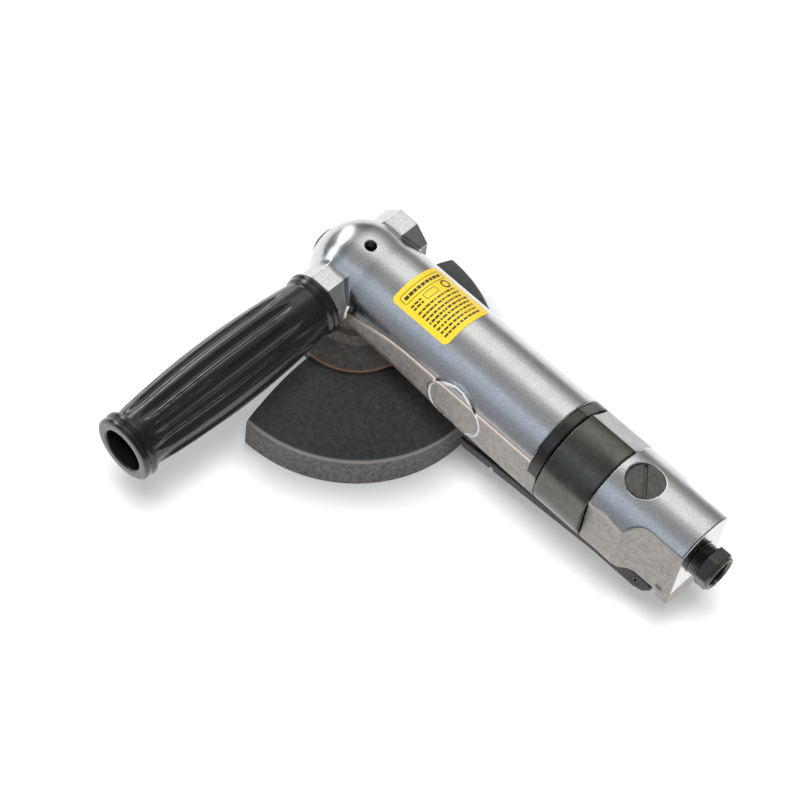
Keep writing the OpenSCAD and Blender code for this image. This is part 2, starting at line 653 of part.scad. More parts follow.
// Flat side that moves outward towards the rear
flat_flare = 9.1;
module flared_flat(side) translate([valve_front_x, side * valve_flats_w / 2, -barrel_d])
    rotate(side * flat_flare) translate([-barrel_d, side > 0 ? 0 : -barrel_d, 0])
        cube([through, barrel_d, 2 * barrel_d]);
// Pocket round the lever's pivot, rounded in front
pocket_x = lever_side_end + 0.2;
pocket_len = 20.4;
pocket_top = 16.2;
pocket_r = 5;
module pivot_pocket() translate([pocket_x, -barrel_d, -pocket_top]) {
    translate([0, 0, -through]) cube([pocket_len, 2 * barrel_d, through - pocket_r]);
    translate([pocket_r, 0, -2 * pocket_r]) cube([pocket_len - pocket_r, 2 * barrel_d, 2 * pocket_r]);
    translate([pocket_r, 0, -pocket_r]) rotate([-90, 0, 0]) cylinder(r = pocket_r, h = 2 * barrel_d);
}
cheek_from_front = 30.2;
cheek_x = valve_front_x + cheek_from_front;
cheek_blend_r = 10.5;
// Takes one side off the rear of the housing, with a rounded run-out at the front
module cheek_cut(side) {
    translate([cheek_x, side > 0 ? cheek_w / 2 : -cheek_w / 2 - barrel_r, -barrel_d])
        cube([through, barrel_r, 2 * barrel_d]);
    translate([cheek_x, side * (cheek_w / 2 + cheek_blend_r), -barrel_d])
        cylinder(r = cheek_blend_r, h = 2 * barrel_d);
}
// Lug between the lever's sides, with the bore for the pivot pin
lug_w = 16;
lug_r = 3.6;
module pivot_lug() translate([pivot_x, -lug_w / 2, pivot_z]) {
    translate([-lug_r, 0, 0]) cube([2 * lug_r, lug_w, 1 - pocket_top - pivot_z]);
    rotate([-90, 0, 0]) cylinder(r = lug_r, h = lug_w);
}
plug_seat_z = barrel_r - 1.2;
plug_deep = 7;
spring_room_r = 6;
spring_floor_z = -4;
valve_seat_t = 4;
bush_r = 4;
bush_len = 8;
air_way_r = 5;
air_way_drop = 11;
module valve_housing() color("silver") difference() {
    valve_housing_outside();
    translate([pivot_x, -barrel_r, pivot_z]) rotate([-90, 0, 0])
        cylinder(r = pivot_pin_d / 2 + seat_gap, h = barrel_d);
    // Valve bore from the plug down to the lever
    translate([valve_x, 0, 0]) {
        translate([0, 0, plug_seat_z - plug_deep]) cylinder(d = valve_plug_d + 2 * seat_gap, h = through);
        translate([0, 0, spring_floor_z - valve_seat_t]) cylinder(r = spring_room_r, h = through);
        translate([0, 0, -barrel_d]) cylinder(r = bush_r + seat_gap, h = barrel_d);
    }
    // Air inlet from the rear, and the way to the motor
    along_x(valve_end_x - inlet_thread_len, inlet_z) cylinder(r = inlet_neck_r + seat_gap, h = through);
    along_x(valve_x, inlet_z) cylinder(r = air_way_r, h = through);
    along_x(valve_front_x - through, -air_way_drop)
        cylinder(r = air_way_r - 0.5, h = through + valve_x_from_front);
}
module valve_plug() color("dimgray") translate([valve_x, 0, plug_seat_z]) difference() {
    translate([0, 0, -plug_deep + seal_t]) cylinder(d = valve_plug_d, h = plug_deep - seal_t);
    rotate(plug_slot_turn) translate([-plug_slot_w / 2, -valve_plug_d, -plug_slot_deep])
        cube([plug_slot_w, 2 * valve_plug_d, 2 * plug_slot_deep]);
    translate([0, 0, -plug_deep]) cylinder(r = spring_r + 0.5, h = spring_pocket);
}
seal_t = 1.2;
plug_slot_turn = 41.6;
plug_slot_w = 2;
plug_slot_deep = 1.6;
spring_r = 3.9;
spring_pocket = 3.4;
module plug_seal() color("#202020") translate([valve_x, 0, plug_seat_z - plug_deep + 0.02])
    ring(valve_plug_d / 2 - 0.1, spring_room_r + 0.1, seal_t - 0.04);

// Throttle valve, its spring, seat, guide and stem
valve_disc_z = spring_floor_z + 0.1;
valve_disc_t = 3;
valve_disc_r = 5;
stem_tip_r = 1.5;
stem_tip_len = 3.5;
module valve_spring() color("silver") translate([valve_x, 0, valve_disc_z + valve_disc_t + 0.1])
    ring(spring_r, spring_r - 1, plug_seat_z - plug_deep + spring_pocket - 0.1 - valve_disc_z - valve_disc_t);
module throttle_valve() color("peru") translate([valve_x, 0, valve_disc_z]) difference() {
    union() {
        cylinder(r = valve_disc_r, h = valve_disc_t);
        cylinder(r = spring_r - 1.3, h = valve_disc_t + 2);
    }
    translate([0, 0, -1]) cylinder(r = stem_tip_r + seat_gap, h = stem_tip_len + 0.5);
}
module valve_seat() color("goldenrod") translate([valve_x, 0, spring_floor_z - valve_seat_t])
    ring(spring_room_r - seat_gap, stem_r + 0.6, valve_seat_t);
module stem_bush() color("goldenrod") translate([valve_x, 0, -barrel_r + 1])
    ring(bush_r, stem_r + run_gap, bush_len);
module valve_stem() color("lightgray") translate([valve_x, 0, 0]) {
    tip = lever_pad_z + lever_t + 0.1;
    translate([0, 0, tip + stem_r]) cylinder(r = stem_r, h = valve_disc_z - 0.05 - tip - stem_r);
    translate([0, 0, tip + stem_r]) sphere(r = stem_r);
    translate([0, 0, valve_disc_z - 1]) cylinder(r = stem_tip_r, h = stem_tip_len);
}

// Air inlet
inlet_neck_r = 8.3;
inlet_thread_len = 14;
inlet_hex_len = 6;
inlet_free = 5;
inlet_lip = 1.2;
inlet_out = inlet_free + inlet_hex_len + inlet_lip;
module inlet_bushing() color("#2b2a2a") along_x(0, inlet_z) difference() {
    union() {
        translate([0, 0, valve_end_x - inlet_thread_len + 2])
            cylinder(r = inlet_neck_r, h = inlet_thread_len - 2 + inlet_free + 1);
        translate([0, 0, valve_end_x + inlet_free]) rotate(15)
            cylinder(r = inlet_af / 2 / cos(30), h = inlet_hex_len, $fn = 6);
        translate([0, 0, valve_end_x + inlet_free]) cylinder(d = inlet_af - 0.2,
            h = inlet_hex_len + inlet_lip);
    }
    translate([0, 0, valve_end_x - inlet_thread_len]) cylinder(d = inlet_bore_d, h = through);
}
module inlet_screen() color("goldenrod") along_x(valve_end_x - inlet_thread_len + 0.1, inlet_z)
    difference() {
        cylinder(r = inlet_neck_r - 0.1, h = screen_t);
        for (y = [-1.5 : 1.5], z = [-1.5 : 1.5]) translate([y * screen_pitch, z * screen_pitch, -1])
            cylinder(r = screen_hole_r, h = screen_t + 2, $fn = 16);
    }
screen_t = 1.7;
screen_pitch = 3;
screen_hole_r = 0.9;

// Throttle lever: a steel channel whose open side faces the barrel
web_x = latch_x + 4.2;
// Bends of the lever's tip and tail, as places from the tip and from the pivot's foot
lever_tip_bend = [[0.6, 3], [2.4, 0.8], [5, 0.48]];
ear_half = 6;
ear_h = 11;
lever_tail_bend = [[5, 2], [8.5, 7], [8.8, 9.6], [ear_half, ear_h]];
room_front = 9;
module lever_outline() polygon(concat([[lever_tip_x, lever_top(lever_tip_x)]],
    [for (p = lever_tip_bend) [lever_tip_x + p[0], lever_floor(lever_tip_x) + p[1]]],
    [[knee_x, lever_pad_z], [pivot_x, lever_pad_z]],
    [for (p = lever_tail_bend) [pivot_x + p[0], lever_pad_z + p[1]]],
    [[pivot_x - ear_half, lever_pad_z + ear_h], [lever_side_end, lever_top(lever_side_end)]]));
module lever_room() polygon([
    [lever_tip_x - room_front, 0], [lever_tip_x - room_front, -through], [web_x, -through],
    [web_x, lever_floor(web_x) + lever_t], [knee_x, lever_pad_z + lever_t],
    [pivot_x + 2, lever_pad_z + lever_t], [pivot_x + 5, lever_pad_z + lever_t + 1.6],
    [pivot_x + 7, lever_pad_z + 8], [pivot_x + 7, 0]]);
module across(w) translate([0, w / 2, 0]) rotate([90, 0, 0]) linear_extrude(w) children();
module throttle_lever() color("#44423f") difference() {
    across(lever_w) lever_outline();
    across(lever_w - 2 * lever_t) lever_room();
    for (p = [[pivot_x, pivot_z, pivot_pin_d / 2 + run_gap], [latch_x, latch_z, latch_pin_r + seat_gap]])
        translate([p[0], -lever_w, p[1]]) rotate([-90, 0, 0]) cylinder(r = p[2], h = 2 * lever_w);
}
module lever_pivot_pin() color("#2a2a2a") translate([pivot_x, -lever_w / 2, pivot_z])
    rotate([-90, 0, 0]) ring(pivot_pin_d / 2, pivot_pin_d / 2 - pin_wall, lever_w);
pin_wall = 1.1;

// Safety latch in the front of the lever
latch_tip_x = lever_tip_x + 1;
latch_low = lever_floor(latch_tip_x) - 0.8;
// The hooked front of the latch, as places from its lowest front corner
latch_hook = [[8, 3.4], [1, 4.2], [0, 3], [0.6, 1.2], [3.6, 0], [8, 0.4]];
module latch_outline() difference() {
    union() {
        polygon(concat([[latch_x, latch_z + latch_hub_r - 0.6]],
            [for (p = latch_hook) [latch_tip_x + p[0], latch_low + p[1]]], [[latch_x, latch_z - latch_hub_r]]));
        translate([latch_x, latch_z]) circle(r = latch_hub_r);
    }
    translate([latch_x, latch_z]) circle(r = latch_pin_r + run_gap);
}
spring_w = 4;
module safety_latch() color("#5a5855") difference() {
    across(latch_w) latch_outline();
    translate([latch_x - spring_w, latch_w / 2 - spring_w - 0.4, latch_z - 3 * latch_hub_r])
        cube([2 * spring_w, spring_w + 1, 6 * latch_hub_r]);
}
module latch_pin() color("gray") translate([latch_x, -lever_w / 2, latch_z])
    rotate([-90, 0, 0]) cylinder(r = latch_pin_r, h = lever_w);
module latch_spring() color("silver") translate([latch_x, latch_w / 2 - spring_w, latch_z])
    rotate([-90, 0, 0]) ring(2, latch_pin_r + 0.2, spring_w - 0.4);

angle_housing();
front_plug();
name_label();
bearing_cap();
guard_retainer();
guard_screws();
wheel_guard();
handle_stud();
side_handle();
spindle();
ring_gear();
gear_key();
inner_flange();
flange_nut();
spindle_upper_bearing();
spindle_lower_bearing();
spindle_seal();
rotor();
vanes();
pinion();
front_rotor_bearing();
front_end_plate();
cylinder_liner();
liner_pin();
rear_end_plate();
rear_rotor_bearing();
clamp_ring();
motor_sleeve();
valve_housing();
valve_plug();
plug_seal();
valve_spring();
throttle_valve();
valve_seat();
stem_bush();
valve_stem();
inlet_bushing();
inlet_screen();
throttle_lever();
lever_pivot_pin();
safety_latch();
latch_pin();
latch_spring();
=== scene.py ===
"""The looks of the air angle grinder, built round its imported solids. All places are in the row frame.

The shapes are written in millimetres as distance fields, turned into meshes, and scaled to metres.
"""
import functools
import json
import math

import bmesh
import bpy
import numpy as np
import openvdb
from mathutils import Matrix, Vector


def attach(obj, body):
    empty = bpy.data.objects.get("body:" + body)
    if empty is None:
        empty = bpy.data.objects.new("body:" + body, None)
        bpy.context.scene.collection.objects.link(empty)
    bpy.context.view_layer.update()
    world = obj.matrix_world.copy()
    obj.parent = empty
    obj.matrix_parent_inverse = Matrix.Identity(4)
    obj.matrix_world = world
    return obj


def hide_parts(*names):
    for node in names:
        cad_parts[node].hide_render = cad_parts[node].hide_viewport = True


MM = 0.001
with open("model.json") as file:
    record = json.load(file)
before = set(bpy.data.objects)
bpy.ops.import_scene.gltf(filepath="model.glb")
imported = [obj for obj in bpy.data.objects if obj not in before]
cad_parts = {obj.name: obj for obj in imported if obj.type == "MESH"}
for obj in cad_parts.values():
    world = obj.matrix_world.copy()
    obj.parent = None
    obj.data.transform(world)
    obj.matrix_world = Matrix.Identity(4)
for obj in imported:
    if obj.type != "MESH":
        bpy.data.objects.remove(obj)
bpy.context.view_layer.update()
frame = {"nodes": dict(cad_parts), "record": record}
scene = bpy.context.scene
scene.view_settings.view_transform = "Standard"

# Camera
AZ, EL, ROLL = (math.radians(a) for a in (36.3, 56.6, 9.8))
LENS_MM, SENSOR_MM = 112.37, 36
CAMERA_AT = Vector((422.3, -528.9, 926.6)) * MM
CLIP_NEAR, CLIP_FAR = 0.05, 20


def make_camera():
    back = Vector((math.sin(AZ) * math.cos(EL), -math.cos(AZ) * math.cos(EL), math.sin(EL)))
    right = Vector((math.cos(AZ), math.sin(AZ), 0))
    up = back.cross(right)
    right, up = (right * math.cos(ROLL) + up * math.sin(ROLL),
                 up * math.cos(ROLL) - right * math.sin(ROLL))
    data = bpy.data.cameras.new("camera")
    data.lens, data.sensor_width = LENS_MM, SENSOR_MM
    data.clip_start, data.clip_end = CLIP_NEAR, CLIP_FAR
    cam = bpy.data.objects.new("camera", data)
    m = Matrix((right, up, back)).transposed().to_4x4()
    m.translation = CAMERA_AT
    cam.matrix_world = m
    scene.collection.objects.link(cam)
    scene.camera = cam



# Distance fields
def length(*parts):
    return np.sqrt(sum(p * p for p in parts))


def union(*ds):
    return functools.reduce(np.minimum, ds)


def inter(*ds):
    return functools.reduce(np.maximum, ds)


def cut(a, *ds):
    for d in ds:
        a = np.maximum(a, -d)
    return a


def blend_union(a, b, k):
    h = np.maximum(k - np.abs(a - b), 0) / k
    return np.minimum(a, b) - h * h * k * 0.25


def blend_inter(a, b, k):
    return -blend_union(-a, -b, k)


def blend_cut(a, b, k):
    return blend_inter(a, -b, k)


def slab(v, lo, hi):
    return np.maximum(lo - v, v - hi)


def block(p, lo, hi, r=0.0):
    """A box with its edges rounded to r."""
    q = [np.abs(v - (a + b) / 2) - (b - a) / 2 + r for v, a, b in zip(p, lo, hi)]
    outside = length(*(np.maximum(v, 0) for v in q))
    return outside + np.minimum(inter(*q), 0) - r


def rod(u, v, w, radius, lo, hi, r=0.0):
    """A cylinder of that radius about u = v = 0, from lo to hi along w."""
    a = length(u, v) - radius + r
    b = np.abs(w - (lo + hi) / 2) - (hi - lo) / 2 + r
    return length(np.maximum(a, 0), np.maximum(b, 0)) + np.minimum(np.maximum(a, b), 0) - r


def polygon(u, v, points, r=0.0):
    """Signed distance to a closed outline in the plane (u, v), grown by r."""
    pts = np.array(points, float)
    d = np.full(np.broadcast(u, v).shape, 1e9)
    inside = np.zeros(d.shape, bool)
    for (ax, ay), (bx, by) in zip(pts, np.roll(pts, -1, 0)):
        ex, ey = bx - ax, by - ay
        t = np.clip(((u - ax) * ex + (v - ay) * ey) / (ex * ex + ey * ey), 0, 1)
        d = np.minimum(d, (u - ax - ex * t) ** 2 + (v - ay - ey * t) ** 2)
        cross = ((ay > v) != (by > v)) & (u < ex * (v - ay) / (ey if ey else 1e-9) + ax)
        inside ^= cross
    d = np.sqrt(d)
    return np.where(inside, -d, d) - r


def ngon(u, v, n, apothem, turn=0.0):
    """A regular n-gon with a flat face towards angle turn, in degrees."""
    angles = np.radians(turn + np.arange(n) * 360.0 / n)
    return inter(*(u * math.cos(a) + v * math.sin(a) for a in angles)) - apothem


BAND = 3


def field_mesh(name, field, lo, hi, step):
    """The surface where field is zero, as an object, with smooth shading."""
    lo, hi = np.array(lo, float), np.array(hi, float)
    count = np.ceil((hi - lo) / step).astype(int) + 1
    axes = [lo[i] + step * np.arange(count[i]) for i in range(3)]
    x, y, z = np.meshgrid(*axes, indexing="ij", sparse=True)
    d = np.ascontiguousarray(np.broadcast_to(field(x, y, z), count), dtype=np.float32)
    d = np.clip(d, -BAND * step, BAND * step)
    grid = openvdb.FloatGrid(BAND * step)
    grid.copyFromArray(d)
    points, quads = grid.convertToQuads(isovalue=0)
    me = bpy.data.meshes.new(name)
    me.from_pydata((points * step + lo) * MM, [], quads.tolist())
    me.validate()
    me.shade_smooth()
    obj = bpy.data.objects.new(name, me)
    scene.collection.objects.link(obj)
    if signed_volume(me) < 0:
        me.flip_normals()
    return obj


def signed_volume(me):
    co = np.zeros(len(me.vertices) * 3)
    me.vertices.foreach_get("co", co)
    co = co.reshape(-1, 3)
    me.calc_loop_triangles()
    tri = np.zeros(len(me.loop_triangles) * 3, int)
    me.loop_triangles.foreach_get("vertices", tri)
    a, b, c = (co[tri.reshape(-1, 3)[:, i]] for i in range(3))
    return float(np.einsum("ij,ij->i", a, np.cross(b, c)).sum() / 6)


def grid_mesh(name, points, closed_u=False, closed_v=False):
    """A mesh from a grid of points (n, m, 3) in millimetres."""
    n, m = points.shape[:2]
    faces = []
    for i in range(n if closed_u else n - 1):
        for j in range(m if closed_v else m - 1):
            i2, j2 = (i + 1) % n, (j + 1) % m
            faces.append((i * m + j, i2 * m + j, i2 * m + j2, i * m + j2))
    me = bpy.data.meshes.new(name)
    me.from_pydata((points.reshape(-1, 3) * MM).tolist(), [], faces)
    me.validate()
    me.shade_smooth()
    obj = bpy.data.objects.new(name, me)
    scene.collection.objects.link(obj)
    return obj


def set_tone(obj, rule, name="tone"):
    """Writes a number per point, from its place in millimetres, for the material to read."""
    me = obj.data
    co = np.zeros(len(me.vertices) * 3)
    me.vertices.foreach_get("co", co)
    p = co.reshape(-1, 3) / MM
    no = np.zeros(len(me.vertices) * 3)
    me.vertex_normals.foreach_get("vector", no)
    values = rule(p, no.reshape(-1, 3))
    att = me.attributes.new(name, "FLOAT", "POINT")
    att.data.foreach_set("value", np.clip(values, 0, 1).astype(np.float32))


def smooth_step(v, lo, hi):
    t = np.clip((v - lo) / (hi - lo), 0, 1)
    return t * t * (3 - 2 * t)


# Materials
class Tree:
    """Small helper to write a node tree line by line; an input is a socket or a value."""

    def __init__(self, tree):
        self.tree = tree

    def node(self, kind, **values):
        made = self.tree.nodes.new(kind)
        for key, value in values.items():
            setattr(made, key, value)
        return made

    def link(self, a, b):
        self.tree.links.new(a, b)

    def feed(self, socket, value):
        if isinstance(value, bpy.types.NodeSocket):
            self.link(value, socket)
        else:
            socket.default_value = value

    def ramp(self, fac, stops, interpolation="LINEAR"):
        """Greys or colours by their place along fac."""
        made = self.node("ShaderNodeValToRGB")
        made.color_ramp.interpolation = interpolation
        elements = made.color_ramp.elements
        while len(elements) < len(stops):
            elements.new(0.5)
        for e, (place, value) in zip(elements, stops):
            e.position = place
            e.color = (*value, 1) if isinstance(value, tuple) else (value, value, value, 1)
        self.link(fac, made.inputs["Fac"])
        return made.outputs["Color"]

    def mix(self, fac, a, b, blend="MIX"):
        made = self.node("ShaderNodeMix", data_type="RGBA", blend_type=blend)
        self.feed(made.inputs[0], fac)
        for socket, value in ((made.inputs[6], a), (made.inputs[7], b)):
            self.feed(socket, value if isinstance(value, bpy.types.NodeSocket) else (*value, 1))
        return made.outputs[2]

    def math(self, operation, *values):
        made = self.node("ShaderNodeMath", operation=operation)
        for socket, value in zip(made.inputs, values):
            self.feed(socket, value)
        return made.outputs[0]


class Nodes(Tree):
    """A new material, with what the materials share."""

    def __init__(self, name):
        self.mat = bpy.data.materials.new(name)
        self.mat.use_nodes = True
        super().__init__(self.mat.node_tree)
        self.bsdf = self.tree.nodes["Principled BSDF"]
        self.place = self.node("ShaderNodeTexCoord").outputs["Object"]

    def noise(self, scale, detail=4, rough=0.6):
        made = self.node("ShaderNodeTexNoise")
        made.inputs["Scale"].default_value = scale
        made.inputs["Detail"].default_value = detail
        made.inputs["Roughness"].default_value = rough
        self.link(self.place, made.inputs["Vector"])
        return made.outputs["Fac"]

    def attribute(self, name):
        return self.node("ShaderNodeAttribute", attribute_name=name).outputs["Fac"]

    def edge_wear(self):
        pointiness = self.node("ShaderNodeNewGeometry").outputs["Pointiness"]
        return self.ramp(pointiness, [(0.54, 0.0), (0.62, 1.0)])

    def bump(self, height, strength, depth):
        """A bumped normal, with its depth in millimetres."""
        made = self.node("ShaderNodeBump")
        made.inputs["Strength"].default_value = strength
        made.inputs["Distance"].default_value = depth * MM
        self.link(height, made.inputs["Height"])
        return made.outputs["Normal"]

    def set(self, **values):
        """Sets the shader's own inputs, with _ for the spaces in their names."""
        for key, value in values.items():
            self.feed(self.bsdf.inputs[key.replace("_", " ")], value)
        return self.mat


def metal(name, dark, light, rough, grain=900, wear=None, metallic=1.0, coarse=90, flat=None):
    """Metal with a grain; tone 1 marks its flats, where a colour for them is given."""
    n = Nodes(name)
    fine = n.noise(grain, 5, 0.7)
    color = n.mix(n.noise(coarse, 3), dark, light)
    color = n.mix(n.ramp(fine, [(0.35, 0.0), (0.7, 1.0)]), color, n.mix(0.5, color, light))
    if flat:
        color = n.mix(n.attribute("tone"), color, n.mix(fine, [v * 0.8 for v in flat], flat))
    if wear:
        color = n.mix(n.edge_wear(), color, wear)
    roughness = n.ramp(n.noise(coarse * 2.3, 5), [(0.3, rough - 0.07), (0.7, rough + 0.08)])
    return n.set(Base_Color=color, Metallic=metallic, Roughness=roughness, Normal=n.bump(fine, 0.35, 0.04))


def cast_aluminium(name, painted_ridge_lines=False):
    """Polished casting; tone 1 marks the ground flats, which are duller and warmer; the same darker colour on
    the underside is painted shade.

    A tan line of painted highlight, with a dark line of painted shade above it, runs along the ridge of each
    upper flat.
    """
    n = Nodes(name)
    tone = n.attribute("tone")
    fine = n.noise(1500, 5, 0.7)
    grit = n.noise(420, 6, 0.75)
    pits = n.ramp(n.noise(1000, 4, 0.85), [(0.38, 0.0), (0.66, 0.6)])
    speckle = n.ramp(grit, [(0.35, 0.0), (0.65, 1.0)])
    polished = n.mix(n.noise(60, 3), (0.66, 0.665, 0.68), (0.74, 0.74, 0.74))
    polished = n.mix(pits, polished, (0.44, 0.435, 0.43))
    ground = n.mix(speckle, (0.25, 0.232, 0.218), (0.44, 0.41, 0.385))
    color = n.mix(tone, polished, ground)
    if painted_ridge_lines:
        # Painted shade: a dark line above each flat's ridge; painted highlight: a tan line on the ridge.
        color = n.mix(n.math("MULTIPLY", n.attribute("painted_shade_line"), 0.7), color, (0.17, 0.14, 0.125))
        color = n.mix(n.math("MULTIPLY", n.attribute("painted_highlight_line"), 0.75), color, (0.70, 0.56, 0.42))
    polished_rough = n.ramp(n.noise(150, 5), [(0.3, 0.17), (0.75, 0.27)])
    ground_rough = n.ramp(grit, [(0.3, 0.42), (0.7, 0.58)])
    return n.set(Base_Color=color, Metallic=1.0, Roughness=n.mix(tone, polished_rough, ground_rough),
                 Normal=n.bump(n.mix(tone, fine, grit), 0.3, 0.06))


def gloss_black():
    n = Nodes("black_plastic")
    color = n.mix(n.noise(50, 3), (0.005, 0.005, 0.005), (0.011, 0.010, 0.010))
    rough = n.ramp(n.noise(120, 5), [(0.3, 0.22), (0.75, 0.34)])
    return n.set(Base_Color=color, Roughness=rough, Normal=n.bump(n.noise(700, 4), 0.16, 0.05),
                 Specular_IOR_Level=0.5, Coat_Weight=0.4, Coat_Roughness=0.08)


def black_paint(name, edge, rough_range, metallic, lo, hi):
    """Tone 1 marks edges with wear and a painted highlight, and side 1 marks the guard's outer wall, painted
    a lighter grey as if lit, with speckled grit.
    """
    n = Nodes(name)
    fine = n.noise(900, 5, 0.7)
    specks = n.ramp(n.noise(260, 2), [(0.70, 0.0), (0.74, 1.0)])
    grit = n.ramp(n.noise(430, 4, 0.85), [(0.3, 0.0), (0.7, 1.0)])
    color = n.mix(n.noise(45, 4), lo, hi)
    color = n.mix(n.math("MULTIPLY", specks, 0.4), color, (0.16, 0.15, 0.15))
    color = n.mix(n.math("MULTIPLY", grit, 0.8), color, [v * 0.3 for v in lo])
    # Painted light: the guard's outer wall is a lighter grey as if lit, with real speckled grit in it.
    lit_skirt = n.mix(grit, (0.025, 0.023, 0.021), (0.22, 0.205, 0.19))
    color = n.mix(n.attribute("side"), color, lit_skirt)
    # Edges: wear with a painted highlight.
    color = n.mix(n.math("MULTIPLY", n.attribute("tone"), 0.9), color, edge)
    rough = n.ramp(fine, [(0.3, rough_range[0]), (0.75, rough_range[1])])
    return n.set(Base_Color=color, Roughness=rough, Metallic=metallic, Normal=n.bump(fine, 0.5, 0.05))


def label_film(name, lo, hi):
    n = Nodes(name)
    return n.set(Base_Color=n.mix(n.noise(300, 4), lo, hi), Roughness=0.38, Coat_Weight=0.3,
                 Coat_Roughness=0.2, Normal=n.bump(n.noise(500, 3), 0.08, 0.03))


def plain(name, lo, hi, rough, scale=400):
    n = Nodes(name)
    fac = n.noise(scale, 4)
    roughness = n.ramp(fac, [(0.3, rough - 0.06), (0.7, rough + 0.08)])
    return n.set(Base_Color=n.mix(fac, lo, hi), Roughness=roughness, Normal=n.bump(fac, 0.2, 0.04))


MATS = {
    "cast_aluminium": cast_aluminium("cast_aluminium", painted_ridge_lines=True),
    "black_plastic": gloss_black(),
    "black_paint": black_paint("black_paint", edge=(0.30, 0.15, 0.08), rough_range=(0.36, 0.52),
                               metallic=0.35, lo=(0.024, 0.024, 0.026), hi=(0.042, 0.042, 0.045)),
    "dark_steel": metal("dark_steel", (0.085, 0.08, 0.075), (0.16, 0.15, 0.14), 0.34,
                        wear=(0.45, 0.44, 0.43)),
    "bright_steel": metal("bright_steel", (0.42, 0.42, 0.43), (0.62, 0.62, 0.63), 0.28,
                          wear=(0.8, 0.8, 0.8)),
    "gear_steel": metal("gear_steel", (0.22, 0.22, 0.23), (0.36, 0.36, 0.37), 0.32, wear=(0.6, 0.6, 0.6)),
    "cast_iron": metal("cast_iron", (0.18, 0.18, 0.18), (0.30, 0.30, 0.30), 0.5, grain=500),
    "lever_steel": metal("lever_steel", (0.018, 0.017, 0.016), (0.055, 0.052, 0.05), 0.3,
                         wear=(0.6, 0.59, 0.56)),
    "brass": metal("brass", (0.60, 0.42, 0.16), (0.78, 0.58, 0.26), 0.3),
    "vane_resin": plain("vane_resin", (0.14, 0.07, 0.03), (0.24, 0.13, 0.06), 0.6),
    "rubber": plain("rubber", (0.015, 0.015, 0.015), (0.03, 0.03, 0.03), 0.6),
    "yellow_label": label_film("yellow_label", (0.90, 0.60, 0.02), (0.97, 0.68, 0.045)),
}
# Materials of single pieces, which differ a little from their slot's own
valve_casting = cast_aluminium("valve_casting")
# The guard's edge colour is wear with a painted highlight on its corner.
guard_paint = black_paint("guard_paint", edge=(0.34, 0.33, 0.31), rough_range=(0.46, 0.62), metallic=0.2,
                          lo=(0.050, 0.051, 0.052), hi=(0.076, 0.076, 0.077))
# The cap's copper edge colour is wear with a painted highlight on its rim.
cap_paint = black_paint("cap_paint", edge=(0.50, 0.25, 0.12), rough_range=(0.26, 0.38), metallic=0.75,
                        lo=(0.17, 0.155, 0.14), hi=(0.30, 0.27, 0.245))
ring_steel = metal("ring_steel", (0.05, 0.048, 0.045), (0.10, 0.096, 0.09), 0.30, wear=(0.30, 0.29, 0.28),
                   flat=(0.30, 0.29, 0.275))
sleeve_steel = metal("sleeve_steel", (0.05, 0.048, 0.044), (0.18, 0.175, 0.155), 0.26, grain=700,
                     wear=(0.32, 0.31, 0.30), flat=(0.50, 0.50, 0.49))
pin_steel = metal("pin_steel", (0.03, 0.03, 0.03), (0.09, 0.088, 0.085), 0.35)
plug_steel = metal("plug_steel", (0.018, 0.018, 0.017), (0.17, 0.165, 0.155), 0.42, grain=600, coarse=330,
                   metallic=0.7)
label_ink = label_film("label_ink", (0.02, 0.02, 0.018), (0.05, 0.045, 0.03))


def dress(obj, slot, body, node, material=None):
    """Gives a piece its material, from its slot unless one is given, puts it on its body, and hides the solid
    node that it stands for.
    """
    if material:
        obj.data.materials.append(material)
    elif not obj.data.materials:
        obj.data.materials.append(MATS[slot])
    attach(obj, body)
    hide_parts(node)


# Sizes of the head and barrel, in mm
BARREL_R, BARREL_END, FLAT_Y = 25.0, 125.5, 22.8
NOSE_R, NOSE_GROWS = 23.7, (-4, 20)
FLAT_FADE, FLAT_FADES = 1.7, (8, 50)
HEAD_R, HEAD_SCALE, HEAD_SQUARE = 23.6, 24.0, 0.25
HEAD_LOW, HEAD_NECK_R, HEAD_BLEND = -16.5, 19.8, 2.5
BOSS_REACH, BOSS_APOTHEM, BOSS_Z, BOSS_EDGE = 29.0, 13.1, 4.5, 0.5
RELIEF_X, RELIEF_Z, RELIEF_SLOPE = 85.0, 10.2, 4.0
CHAMFER_SLOPE, CHAMFER_LEAN = 5.7, 35
OVAL_X, OVAL_Z, OVAL_LONG, OVAL_HIGH, OVAL_MEAN = 80.0, 1.2, 16.0, 14.6, 14.5
OVAL_LINE, OVAL_FIELD, OVAL_SIDE = 0.4, 0.08, -2
STUD_R, STUD_HOLE = 5.02, 18.2
LOCK_X, LOCK_R = 3.2, 2.75
PLUG_BORE_R, PLUG_HEAD_R, PLUG_SEAT_X = 5.0, 7.27, -22.5
BEYOND = 60

# Bores of the casting, as the solid has them: radius, from, to
SPINDLE_BORES = ((17.0, -80, 10.5), (11.0, 9.5, 19.5), (20.4, -80, HEAD_LOW))
MOTOR_BORES = ((11.9, 0, 24), (14.0, 22, 35), (20.0, 34, 200))


def flat_at(x):
    """How far out the barrel's side flats lie; they fade towards the head."""
    return FLAT_Y + FLAT_FADE * (1 - smooth_step(x, *FLAT_FADES))


